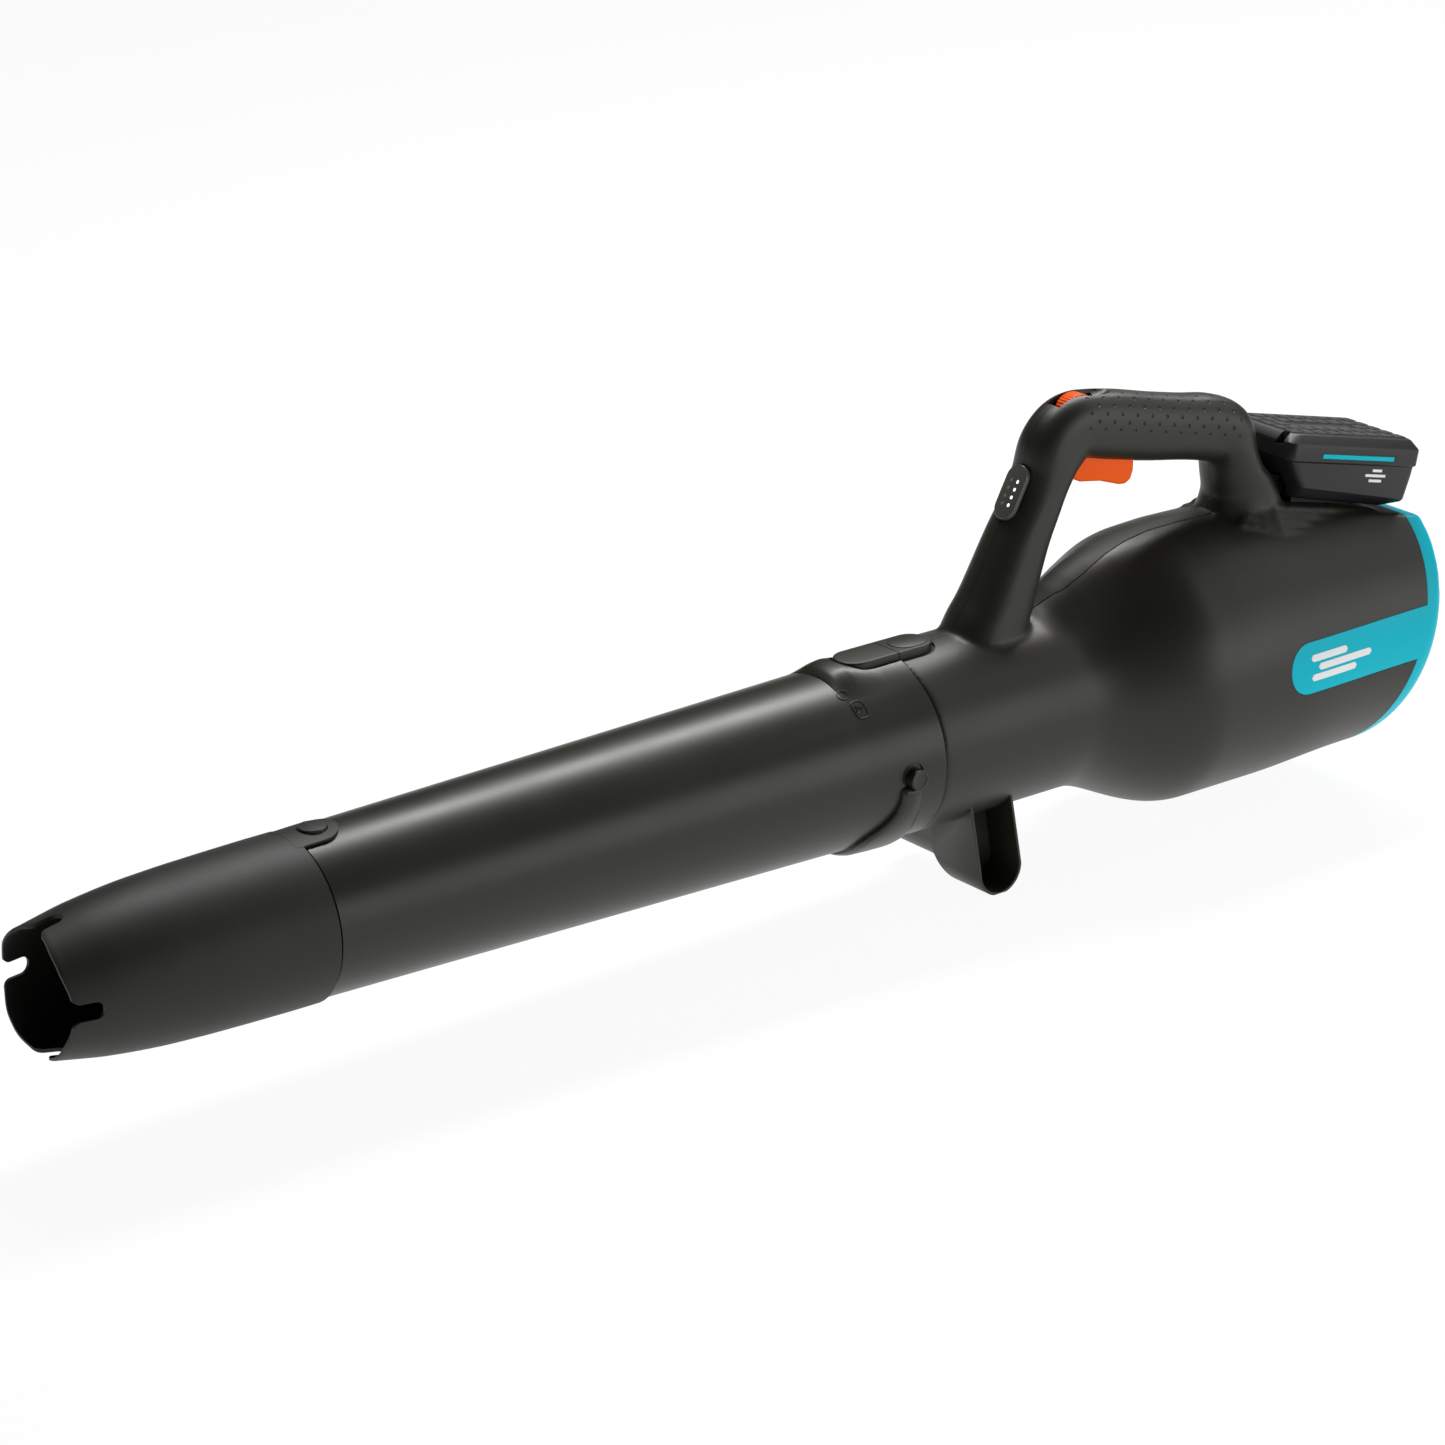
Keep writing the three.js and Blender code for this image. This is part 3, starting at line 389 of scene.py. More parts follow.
# %% Camera
target = at(-128.6, 0, 43.97)
azimuth, elevation, roll = radians(37.753), radians(20.934), radians(-0.554)
back = Vector((-sin(azimuth) * cos(elevation), -cos(azimuth) * cos(elevation), sin(elevation)))
right = Vector((cos(azimuth), -sin(azimuth), 0))
up = back.cross(right)
rolled_right = cos(roll) * right + sin(roll) * up
rolled_up = -sin(roll) * right + cos(roll) * up
lens = bpy.data.cameras.new("camera")
lens.lens, lens.sensor_width = 124.55, 36
camera = bpy.data.objects.new("camera", lens)
bpy.context.collection.objects.link(camera)
turn = Matrix((rolled_right, rolled_up, back)).transposed()
camera.matrix_world = Matrix.Translation(target + back * 3.0297) @ turn.to_4x4()
lens.clip_start, lens.clip_end = 0.1, 50
bpy.context.scene.camera = camera
print("camera at", [round(v, 3) for v in camera.location])

# %% [markdown]
# Area lights give the long soft highlights of a product table. Their place decides where the
# highlight falls on a round body, their size how wide it is, and their power how bright.

# %% Studio
def softbox(name, place, aim, width, height, power):
    light = bpy.data.lights.new(name, "AREA")
    light.shape, light.size, light.size_y = "RECTANGLE", width, height
    light.energy = power
    lamp = bpy.data.objects.new(name, light)
    bpy.context.collection.objects.link(lamp)
    lamp.location = place
    lamp.rotation_euler = (Vector(aim) - Vector(place)).to_track_quat("-Z", "Y").to_euler()


softbox("long strip above and behind", (1.12, 0.73, 1.62), (1.12, 0, 0.1), 2.3, 0.34, 50)
softbox("side softbox", (1.7, -2.1, 0.72), (0.05, 0, 0.12), 2.4, 1.3, 25)
softbox("soft panel over the belly", (1.75, -0.55, 1.4), (0.4, 0, 0.2), 1.2, 0.9, 4.5)
world = bpy.data.worlds.new("dim studio")
world.use_nodes = True
world.node_tree.nodes["Background"].inputs["Color"].default_value = (1, 1, 1, 1)
world.node_tree.nodes["Background"].inputs["Strength"].default_value = 0.05
bpy.context.scene.world = world
bpy.context.scene.view_settings.view_transform = "Standard"
deselect()
bpy.ops.mesh.primitive_plane_add(size=40)
floor = bpy.context.active_object
floor.name = "floor"
table = moulded("lit white table", "#505050", 0.8, grain=2, relief=0.01, clouds=0.01)
table_shader = next(n for n in table.node_tree.nodes if n.type == "BSDF_PRINCIPLED")
table_shader.inputs["Emission Color"].default_value = (1, 1, 1, 1)
table_shader.inputs["Emission Strength"].default_value = 0.94
table_shader.inputs["Specular IOR Level"].default_value = 0.1
dress(floor, table)
print("three softboxes over a lit table")

# %% [markdown]
# ## Housing
# The housing is one flowing form: a neck that swells into a belly, a handle that grows out of
# both, and a low plinth for the battery. The plain forms are lofted, joined and remeshed with
# small cells, and then smoothed a little, which leaves the soft fillets of a moulding wherever
# two of them meet. Afterwards it is hollowed and cut like the real one.

# %% The body's sections
NECK = 59.2
BELLY = 88.2
BELLY_FLAT = 87.2  # the flat strip that the blower lies on
RING_FRONT = 385.3
WALL = 2.6
CROWN = [(0, 59.2), (112, 59.2), (122, 65), (132, 72.6), (144, 79.6), (158, 85.2), (174, 89.6), (192, 92.8),
         (214, 94.6), (240, 95.2), (270, 94), (310, 90), (350, 85.4), (402, 82)]


def belly_radius(x):
    edge = max(0.0, (x - 392) / 8.6)
    return NECK + (BELLY - NECK) * ease(x, 122, 213) - 2.6 * ease(x, 280, RING_FRONT) - 3 * edge * edge


def body_point(x, angle, inset=0.0):
    """A point of the housing's body. The angle is 0 on top and grows to the right side."""
    radius = belly_radius(x)
    reach = abs((angle + pi) % tau - pi)
    ridge = max(0.0, between(x, CROWN) - radius)
    width = radians(36 + 30 * ease(x, 150, 270))
    if reach < width:
        radius += ridge * (0.5 + 0.5 * cos(pi * reach / width))
    radius -= inset
    z = radius * cos(angle)
    if x > 290:
        behind = x - 320
        z = min(z, 84 - 0.14 * behind - 0.0003 * behind * behind - inset)
    z = max(z, inset - BELLY_FLAT)
    return at(x + SLANT * ease(x, 230, RING_FRONT) * z, radius * sin(angle), z)


STATIONS = [i * 2.0 for i in range(201)] + [400.6]
body = loft("body", len(STATIONS), 144, lambda row, a: body_point(STATIONS[row], a))
print("body", len(body.data.vertices), "points")

# %% The handle's sections
# Each row: x and z of the centre line, half thickness, half width, extra width of the outer side.
HANDLE = [
    (72, 38, 27, 26, 0), (81, 57, 25.5, 24.5, 0), (89, 73, 22.5, 23, 0), (105.5, 109, 18.7, 20.5, 0),
    (117.8, 131, 16.6, 19.5, 0), (126, 147.5, 17.2, 19, 0), (135.4, 165.2, 21.6, 18.7, 0),
    (151, 176, 21.2, 18.4, 0), (180, 171.2, 22.4, 18, 0), (214, 163.2, 22, 18, 0),
    (243, 157.2, 21.4, 18.2, 0), (265, 152.4, 21.8, 18.4, 0), (280, 146, 20.5, 19.7, 0.05),
    (284.5, 133, 15.5, 21.5, 0.2), (288.5, 118, 17.3, 23, 0.28), (293, 106, 22.4, 24, 0.3),
    (295, 90, 28.5, 26, 0.2), (294, 66, 30, 27, 0.1),
]


def along_handle(t):
    """Smooth values between the rows of the table, by Catmull and Rom's rule."""
    i = min(int(t), len(HANDLE) - 2)
    f = t - i
    rows = [HANDLE[max(0, min(len(HANDLE) - 1, i + k))] for k in (-1, 0, 1, 2)]
    return [0.5 * (2 * b + (c - a) * f + (2 * a - 5 * b + 4 * c - d) * f * f
                   + (3 * b - a - 3 * c + d) * f ** 3) for a, b, c, d in zip(*rows)]


def squared(value, power=2.5):
    return (1 if value > 0 else -1) * abs(value) ** (2 / power)


def handle_point(t, angle, grow=0.0):
    x, z, thick, wide, wedge = along_handle(t)
    ahead_x, ahead_z = (b - a for a, b in zip(along_handle(max(0, t - 0.02))[:2],
                                              along_handle(min(len(HANDLE) - 1, t + 0.02))[:2]))
    length = sqrt(ahead_x ** 2 + ahead_z ** 2)
    out = (thick + grow) * squared(cos(angle))
    y = (wide + grow) * squared(sin(angle)) * (1 + wedge * cos(angle))
    return at(x - ahead_z / length * out, y, z + ahead_x / length * out)


HANDLE_ROWS = 140
last = len(HANDLE) - 1
handle = loft("handle", HANDLE_ROWS, 64, lambda row, a: handle_point(last * row / (HANDLE_ROWS - 1), a))


def bay_outline(half):
    """The bay seen from above: it narrows forwards into the leg."""
    nose = 290 - 1.15 * half
    return [(nose, -0.7 * half), (275, -half), (366, -half), (366, half), (275, half), (nose, 0.7 * half)]


# Four steps, each wider and lower than the last, stand in for a sloping side.
plinth = [prism("plinth", bay_outline(half), 130, top, battery_plan)
          for half, top in ((28.5, 166), (31.5, 161), (35, 157), (39, 153))]

print("handle", len(handle.data.vertices), "points")

# %% [markdown]
# A boolean union would leave a hard crease where the forms meet. Remeshing the joined forms with
# small cells welds them, and a few rounds of smoothing turn each crease into a moulded fillet.

# %% Joining and smoothing them
activate(body)
for part in (handle, *plinth):
    part.select_set(True)
bpy.ops.object.join()
cell = 1.7 * MM
apply(body, "REMESH", mode="VOXEL", voxel_size=cell, use_smooth_shade=True)
apply(body, "SMOOTH", factor=0.5, iterations=9)
print("housing", len(body.data.polygons), "faces after remeshing")

# %% [markdown]
# The hollow inside is the same loft, one wall thickness smaller. The rear ring with its two side
# bands, and the cover inside the loop, are cut out of this one body, so they meet it exactly.

# %% Hollow, ring and cover
HOLLOW = [-3.0] + [i * 6.0 for i in range(67)] + [404.0]
hollow = loft("hollow", len(HOLLOW), 96, lambda row, a: body_point(HOLLOW[row], a, WALL))
cut(body, hollow)
GAP = 0.35


def rear_zone(name, front):
    return prism(name, [(front + SLANT * -160, -160), (front + 160, -160), (front + 200, 240),
                        (front + SLANT * 240, 240)], -150, 150, sideways)


def band_zone(name, inset, side):
    outline = stadium(265 + inset, 450, 17.5 - inset, 7)
    return prism(name, outline, 40 * side, 120 * side, sideways)


LEAF = [(108, 0.6), (123, 5), (137, 11), (150, 12), (161, 11.2), (175, 9.4), (190, 7.6), (213, 5.6),
        (247, 6.6), (272, 6)]


def leaf(inset):
    """The narrow leaf of the cover, seen from above. Its rear end hides in the leg."""
    half = [(x, max(0.2, between(x, LEAF) - inset)) for x in range(108, 273, 4)]
    return half + [(x, -y) for x, y in reversed(half)]


trim = copy_of(body, "turquoise_ring")
zone = rear_zone("zone", RING_FRONT + GAP)
for side in (-1, 1):
    cut(zone, band_zone("band", GAP, side), "UNION")
cut(trim, zone, "INTERSECT")
cover = copy_of(body, "loop_cover_skin")
cut(cover, prism("leaf", leaf(GAP), 60, 104, upright), "INTERSECT")
cut(cover, loft("handle_room", 100, 40, lambda row, a: handle_point(last * row / 99, a, 0.4)))
for vertex in cover.data.vertices:
    vertex.co.z += 0.5 * MM  # the cover stands a little proud
zone = rear_zone("zone", RING_FRONT)
for side in (-1, 1):
    cut(zone, band_zone("band", 0, side), "UNION")
cut(body, zone)
keep_post = loft("keep_post", 100, 40, lambda row, a: handle_point(last * row / 99, a))
leaf_cut = prism("leaf", leaf(0), 60, 104, upright)
cut(leaf_cut, keep_post)
cut(body, leaf_cut)

# %% [markdown]
# Openings in the handle: a slot for the trigger, a dished hollow for the thumbwheel, and a shallow
# pocket for the display on the front of the post. The neck gets a pocket for the tube latch. On
# the right side, each screw sits at the bottom of a round well.

# %% Openings of the housing
def box_tool(x_low, x_high, y_low, y_high, z_low, z_high):
    outline = [(x_low, z_low), (x_high, z_low), (x_high, z_high), (x_low, z_high)]
    return prism("tool", outline, y_low, y_high, sideways)


POST = radians(61)  # the post's front leans this much from level


def on_post(u, v, w):
    along, out = Vector((cos(POST), 0, sin(POST))), Vector((-sin(POST), 0, cos(POST)))
    return at(101.5, 0, 142.5) + (along * u + Vector((0, v, 0)) + out * w) * MM


cut(body, box_tool(139, 200.5, -8.7, 8.7, 120, 168))
cut(body, box_tool(135, 171, -5.8, 5.8, 166, 215))
deselect()
bpy.ops.mesh.primitive_uv_sphere_add(segments=48, ring_count=24, radius=1)
dish = bpy.context.active_object
for vertex in dish.data.vertices:
    vertex.co = on_tilt(111 + vertex.co.x * 27, vertex.co.y * 13.5, 242.5 + vertex.co.z * 19)
cut(body, dish)
cut(body, prism("panel_pocket", stadium(-19.2, 19.2, 9.7), -3, 12, on_post))
cut(body, prism("latch_pocket", stadium(-22, 35.2, 15.4, steps=24), 57.2, 70, upright))
screw_names = [n for n in frame["nodes"] if "screw" in n]
for name in screw_names:
    low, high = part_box(name)
    x, z = ((low.x + high.x) / 2 - seam) / MM, ((low.z + high.z) / 2 - axis_z) / MM
    cut(body, disc("well", x, z, 4.3, high.y / MM - 4, high.y / MM + 60, 24))
cut(body, box_tool(276, 304, -12, 12, 56, 88))
cut(body, prism("terminal_room", [(264, -16), (289, -16), (289, 16), (264, 16)], 158, 186, battery_plan))
print("openings cut,", len(body.data.polygons), "faces")

# %% [markdown]
# The foot is a short channel under the neck. Its left end is a deep open hook with a thin rim,
# its right end a shallower skid.

# %% Foot
HOOK_BOTTOM, SKID_BOTTOM = -104, -93.3
FOOT_X, FOOT_HALF = 57, 17.5  # middle and half thickness of the channel


def foot_outline(inset, bottom):
    radius = FOOT_HALF - inset
    low = bottom + inset
    points = [(30 + inset, -30)]
    for i in range(25):
        angle = pi + pi * i / 24
        points.append((FOOT_X + radius * cos(angle), low + radius + radius * sin(angle)))
    points.append((64.5 - inset, -30))
    return points


def slope_cut(y, z, turn_down):
    tool = box_tool(20, 100, 0, 60, -60, 0)
    spin = Matrix.Rotation(radians(turn_down), 4, "X")
    pivot = at(0, 0, 0)
    for vertex in tool.data.vertices:
        vertex.co = spin @ (vertex.co - pivot) + pivot + Vector((0, y, z)) * MM
    return tool


foot = prism("foot_skin", foot_outline(0, HOOK_BOTTOM), -45, 0, sideways)
cut(foot, slope_cut(-14.5, HOOK_BOTTOM - 0.4, 53.6))
cut(foot, prism("skid", foot_outline(0, SKID_BOTTOM), -7, 45, sideways), "UNION")
cut(foot, prism("pocket", foot_outline(1.9, HOOK_BOTTOM), -50, -17, sideways))
cut(foot, prism("pocket", foot_outline(2.2, SKID_BOTTOM), 12, 50, sideways))
cut(foot, box_tool(40, 75, -50, 2, -110, -103.2))
neck_core = prism("neck_core", [(NECK * 0.985 * cos(tau * i / 96), NECK * 0.985 * sin(tau * i / 96))
                                for i in range(96)], -20, 130, lambda u, v, w: at(w, u, v))
cut(foot, neck_core)
soften(foot, 0.7, 2, 40)
dress(foot, satin_nylon)
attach(foot, "housing")

print("foot", len(foot.data.polygons), "faces")

# %% [markdown]
# The real housing is two mouldings that meet on the middle plane and are screwed together from
# the right. Splitting the finished body there gives the fine seam line for nothing.

# %% Two shells
right_shell = copy_of(body, "right_shell_skin")
cut(right_shell, box_tool(-100, 500, 0.14, 160, -160, 260), "INTERSECT")
left_shell = body
left_shell.name = "left_shell_skin"
cut(left_shell, box_tool(-100, 500, -160, -0.14, -160, 260), "INTERSECT")
for shell in (left_shell, right_shell, cover, trim):
    smooth(shell, 40)
    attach(shell, "housing")
for shell, finish in ((left_shell, housing_nylon), (right_shell, housing_nylon), (cover, cover_nylon)):
    dress(shell, finish)
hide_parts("foot")
dress(trim, turquoise)
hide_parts("left_shell")
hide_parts("right_shell")
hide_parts("loop_cover")
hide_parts("rear_ring")
for shell in (left_shell, right_shell):
    print(shell.name, len(shell.data.polygons), "faces")

# %% [markdown]
# ## Tube
# The tube is a long cone with a collar where it meets the housing. On top of the collar a smooth
# saddle carries the front of the latch pad. The near end under the nozzle is a little slimmer.

# %% Tube and collar
TUBE_FRONT, NOZZLE_REAR, COLLAR = -474, -442, -57
TUBE_REAR_RADIUS, COLLAR_RADIUS = 57.9, 59.1
CONE = 0.0195  # growth of the radius for each mm towards the rear


def tube_radius(x):
    return TUBE_REAR_RADIUS + CONE * x


SADDLE = [(-60, 0), (-57, 0), (-55, 1.5), (-52, 3.5), (-48, 5), (-42, 5.6), (-38, 5), (-30, 3.4), (-20, 2),
          (0, 1.4)]


def tube_outer(x, angle):
    if x < NOZZLE_REAR + 2:
        return tube_radius(x) - 1.1
    radius = tube_radius(x)
    if x > COLLAR:  # the collar widens to the neck's size without a step
        radius += (COLLAR_RADIUS - TUBE_REAR_RADIUS) * (x - COLLAR) / -COLLAR
    reach = abs((angle + pi) % tau - pi)
    fade = 1 - ease(reach, radians(8), radians(33))
    groove = 0.45 if abs(x - COLLAR) < 0.5 and reach < radians(22) else 0
    return radius + between(x, SADDLE) * fade * (1 if x > COLLAR else 0) - groove


outer_x = [TUBE_FRONT, NOZZLE_REAR + 1.9, NOZZLE_REAR + 2.1] + [-430 + i * 12 for i in range(31)]
outer_x += [-58.2, -57.5, -57.3, -56.7, -56.5, -55.8] + [-55 + i * 1.5 for i in range(37)] + [-0.3]
inner_x = [-0.3, -40, -56, TUBE_FRONT]
SIDES = 192


def tube_point(row, angle):
    if row < len(outer_x):
        x = outer_x[row]
        radius = tube_outer(x, angle)
    else:
        x = inner_x[row - len(outer_x)]
        radius = 55 if x > COLLAR + 5 else tube_radius(x) - 3.4
    return at(x, radius * sin(angle), radius * cos(angle))


def closed_ring(name, rows, sides, place):
    """A loft whose last row is joined back to its first, such as a pipe with a wall."""
    deselect()
    bpy.ops.mesh.primitive_torus_add(major_segments=sides, minor_segments=rows)
    piece = bpy.context.active_object
    piece.name = name
    for vertex in piece.data.vertices:
        side, row = divmod(vertex.index, rows)
        vertex.co = place(row, side / sides * tau)
    tidy_normals(piece)
    return piece


tube = closed_ring("blower_tube_skin", len(outer_x) + len(inner_x), SIDES, tube_point)
cut(tube, prism("keyway", stadium(TUBE_FRONT - 20, -416, 9.2), 40, 60, upright))
cut(tube, prism("pad_pocket", stadium(-41.4, 60, 15.2, steps=24), 57.4, 80, upright))
for side in (-1, 1):
    cut(tube, disc("pin_recess", -26.2, 1.4, 8.4, 56.9 * side, 70 * side))
smooth(tube, 30)
dress(tube, tube_plastic)
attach(tube, "tube")
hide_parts("blower_tube")
print("tube", len(tube.data.polygons), "faces")

# %% [markdown]
# The latch pad is one stadium in two pieces: its front half belongs to the tube's collar, its
# rear half is the button in the neck. Both have a softly rounded top and a shadow gap all round.

# %% Latch pad
pad = prism("latch_pad", stadium(-39, 33, 13.1, steps=24), 55.5, 62.8, upright)
soften(pad, 1.5, 4, 50)
pad_rear = copy_of(pad, "tube_latch_skin")
cut(pad, box_tool(-60, -0.3, -20, 20, 40, 80), "INTERSECT")
cut(pad_rear, box_tool(0.3, 60, -20, 20, 40, 80), "INTERSECT")
pad_inlay = prism("latch_inlay", stadium(3.5, 29.5, 10.2), 62.5, 63.3, upright)
soften(pad_inlay, 0.3, 2)
for piece, body_name, finish in ((pad, "tube", satin_nylon), (pad_rear, "tube_latch_body", satin_nylon),
                                 (pad_inlay, "tube_latch_body", satin_nylon)):
    smooth(piece, 30)
    dress(piece, finish)
    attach(piece, body_name)
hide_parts("tube_latch")
print("latch pad", len(pad.data.polygons) + len(pad_rear.data.polygons), "faces")

# %% [markdown]
# The retaining band hugs the collar from below. Its edges are drawn as a table of angle against
# place along the tube, and its section is a low rounded rib.

# %% Retaining band and pins
BAND_FRONT = [(95, -34.6), (104, -35), (110, -37), (115, -39.8), (120, -43.5), (125, -48), (129, -51.6),
              (133, -54.2), (138, -55.4), (146, -55.4), (160, -54), (180, -53)]
BAND_REAR = [(95, -20.6), (112, -19.6), (126, -18.2), (140, -18.5), (150, -21), (180, -24)]
RIB = [(0.0, 0.0), (0.0, 0.55), (0.06, 0.86), (0.14, 1.0), (0.5, 1.04), (0.86, 1.0), (0.94, 0.86),
       (1.0, 0.55), (1.0, 0.0)]
BAND_ROWS = 110


def band_point(row, side_angle):
    index = round(side_angle / tau * len(RIB)) % len(RIB)
    share, height = RIB[index]
    angle = 95 + 170 * row / (BAND_ROWS - 1)
    mirrored = angle if angle <= 180 else 360 - angle
    front, rear = between(mirrored, BAND_FRONT), between(mirrored, BAND_REAR)
    x = front + (rear - front) * share
    radius = tube_outer(x, pi) - 0.3 + 4.2 * height * ease(angle if angle < 180 else 360 - angle, 93, 99)
    turned = radians(angle)
    return at(x, -radius * sin(turned), radius * cos(turned))


band = loft("retaining_band_skin", BAND_ROWS, len(RIB), band_point)
smooth(band, 50)
dress(band, tube_plastic)
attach(band, "tube")
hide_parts("retaining_band")
for side, name in ((-1, "band_pin_left"), (1, "band_pin_right")):
    pin = disc(name + "_skin", -24.6, -0.6, 6.5, 57.2 * side, 63.2 * side)
    cap = disc("groove", -24.6, -0.6, 5.2, 62.9 * side, 66 * side)
    cut(pin, cap)
    soften(pin, 0.4, 2)
    dress(pin, tube_plastic)
    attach(pin, "tube")
    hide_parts(name)
print("band", len(band.data.polygons), "faces")

# %% [markdown]
# Moulded symbols on the collar show how the tube locks: a ring with two short tails and a
# rounded outline. They stand a few tenths of a millimetre proud of the surface.

# %% Symbols on the collar
LINE_RISE, LINE_WIDTH = 0.07, 0.7


def raised_line(name, points):
    """A thin closed rib on the collar through points given as (x, degrees from the top)."""
    deselect()
    curve = bpy.data.curves.new(name, "CURVE")
    curve.dimensions = "3D"
    spline = curve.splines.new("POLY")
    spline.points.add(len(points) - 1)
    for point, (x, angle) in zip(spline.points, points):
        radius = tube_outer(x, -radians(angle)) + LINE_RISE
        place = at(x, -radius * sin(radians(angle)), radius * cos(radians(angle)))
        point.co = (*place, 1)
    spline.use_cyclic_u = True
    curve.bevel_depth, curve.bevel_resolution = LINE_WIDTH / 2 * MM, 2
    line = bpy.data.objects.new(name, curve)
    bpy.context.collection.objects.link(line)
    activate(line)
    bpy.ops.object.convert(target="MESH")
    smooth(line, 60)
    dress(line, tube_plastic)
    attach(line, "tube")
    return line


def loop_of(x, angle, half_x, half_angle, steps=24, power=1.0):
    return [(x + half_x * squared(cos(tau * i / steps), 2 * power),
             angle + half_angle * squared(sin(tau * i / steps), 2 * power)) for i in range(steps)]


raised_line("symbol_ring", loop_of(-55.5, 26, 3.4, 3.4))
raised_line("symbol_outline", loop_of(-50.5, 39, 4.4, 6.2, 32, 1.7))
raised_line("symbol_bar", [(-52.5, 36.5), (-48.6, 38.8), (-52.5, 41.2)])
print("three raised symbols,", LINE_WIDTH, "mm wide")

# %% [markdown]
# ## Nozzle
# The nozzle narrows like a bell towards its mouth. Four notches are pressed into the rim by moving
# the front rows of the loft backwards where a notch is, so their edges stay smooth and rounded.

# %% Nozzle
MOUTH = -613
NOZZLE_PROFILE = [(MOUTH, 38.6), (-609, 39.1), (-596, 41.6), (-582, 44.2), (-568, 46.0), (-555, 47.4),
                  (-542, 48.5), (-528, 49.2), (-515, 49.8), (-488, 50.5), (-461, 51.0), (-442, 51.1)]


def taper_back(angle):
    """The rim draws back a little towards each notch, in mm."""
    nearest = abs((angle + pi / 4) % (pi / 2) - pi / 4) * 38.6
    return 2.6 * (1 - ease(nearest, 6, 26))


def notch_outline():
    """A round-ended slot whose mouth flares out into the rim with a radius."""
    flare = [(MOUTH - 6, 12)] + [(MOUTH + 7.5 - 5.5 * cos(i * pi / 16), 10.7 - 5.5 * sin(i * pi / 16))
                                 for i in range(9)]
    flare[1:1] = [(MOUTH + 2.0, 12)]
    end = [(MOUTH + 15.5 + 5.2 * sin(i * pi / 12), 5.2 * cos(i * pi / 12)) for i in range(7)]
    half = flare + end
    return half[:-1] + [(x, -y) for x, y in reversed(half)]


NOZZLE_ROWS = 60


def nozzle_point(row, angle):
    half = NOZZLE_ROWS // 2
    inside = row >= half
    step = (row if not inside else 2 * half - 1 - row) / (half - 1)
    share = step ** 1.4
    front = MOUTH + taper_back(angle) * (1 - ease(step, 0, 0.4))
    x = front + (NOZZLE_REAR - front) * share
    radius = between(x, NOZZLE_PROFILE) - (2.3 if inside else 0)
    lip = 0.35 if step < 0.01 else 0
    radius += lip if inside else -lip
    return at(x, radius * sin(angle), radius * cos(angle))


nozzle = closed_ring("nozzle_skin", NOZZLE_ROWS, 240, nozzle_point)
for quarter in range(4):
    slot_tool = prism("notch", notch_outline(), 20, 60, upright)
    to_axis = Matrix.Translation(at(0, 0, 0))
    slot_tool.data.transform(to_axis @ Matrix.Rotation(quarter * pi / 2, 4, "X") @ to_axis.inverted())
    cut(nozzle, slot_tool)
tongue = prism("tongue", stadium(-480, -411, 15, steps=24), 30, 70, upright)
tongue_ring = closed_ring("tongue_ring", 4, 240, lambda row, a: at(
    (-446, -411, -411, -446)[row], (50.4, 50.4, 52.2, 51.2)[row] * sin(a),
    (50.4, 50.4, 52.2, 51.2)[row] * cos(a)))
cut(tongue_ring, tongue, "INTERSECT")
cut(nozzle, tongue_ring, "UNION")
cut(nozzle, prism("button_hole", stadium(-435.1, -416.9, 9.1), 40, 60, upright))
smooth(nozzle, 35)
dress(nozzle, nozzle_plastic)
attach(nozzle, "nozzle_body")
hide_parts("nozzle")
button = prism("nozzle_button_skin", stadium(-434.6, -417.4, 8.6, steps=24), 47.4, 53, upright)
soften(button, 1.0, 3)
dress(button, nozzle_plastic)
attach(button, "nozzle_button_body")
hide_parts("nozzle_button")
print("nozzle", len(nozzle.data.polygons), "faces")

# %% [markdown]
# ## Controls
# The trigger and the thumbwheel are bright orange. The wheel has fine ribs so that a thumb can
# roll it. The display on the post is a smooth stadium with small lit marks.

# %% Trigger and thumbwheel
TRIGGER = [(141.5, 152), (145, 144.5), (153, 140.2), (170, 137.2), (186, 131.6), (191, 131), (195.5, 133.2),
           (197.8, 139), (198.4, 157), (170, 159.5), (151.5, 163), (144, 162), (141.5, 158)]
trigger = prism("trigger_skin", TRIGGER, -8, 8, sideways)
soften(trigger, 1.6, 3, 20)
dress(trigger, orange)
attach(trigger, "trigger_body")
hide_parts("trigger")

RIBS = 40
WHEEL_X, WHEEL_Z, WHEEL_RADIUS = 153, 182.5, 14.3
wheel_outline = []
for i in range(RIBS * 6):
    angle = tau * i / (RIBS * 6)
    radius = WHEEL_RADIUS + 0.2 * cos(angle * RIBS)
    wheel_outline.append((WHEEL_X + radius * cos(angle), WHEEL_Z + radius * sin(angle)))
wheel = prism("speed_wheel_skin", wheel_outline, -5.2, 5.2, sideways)
soften(wheel, 0.9, 3, 60)
dress(wheel, orange)
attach(wheel, "speed_wheel_body")
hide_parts("speed_wheel")

print("trigger and wheel with", RIBS, "ribs")

# %% [markdown]
# The display is a smooth grey window with four pairs of marks, which show the charge. An inset
# picture would be flat, so the marks are small pieces of their own, and half of them are lit.

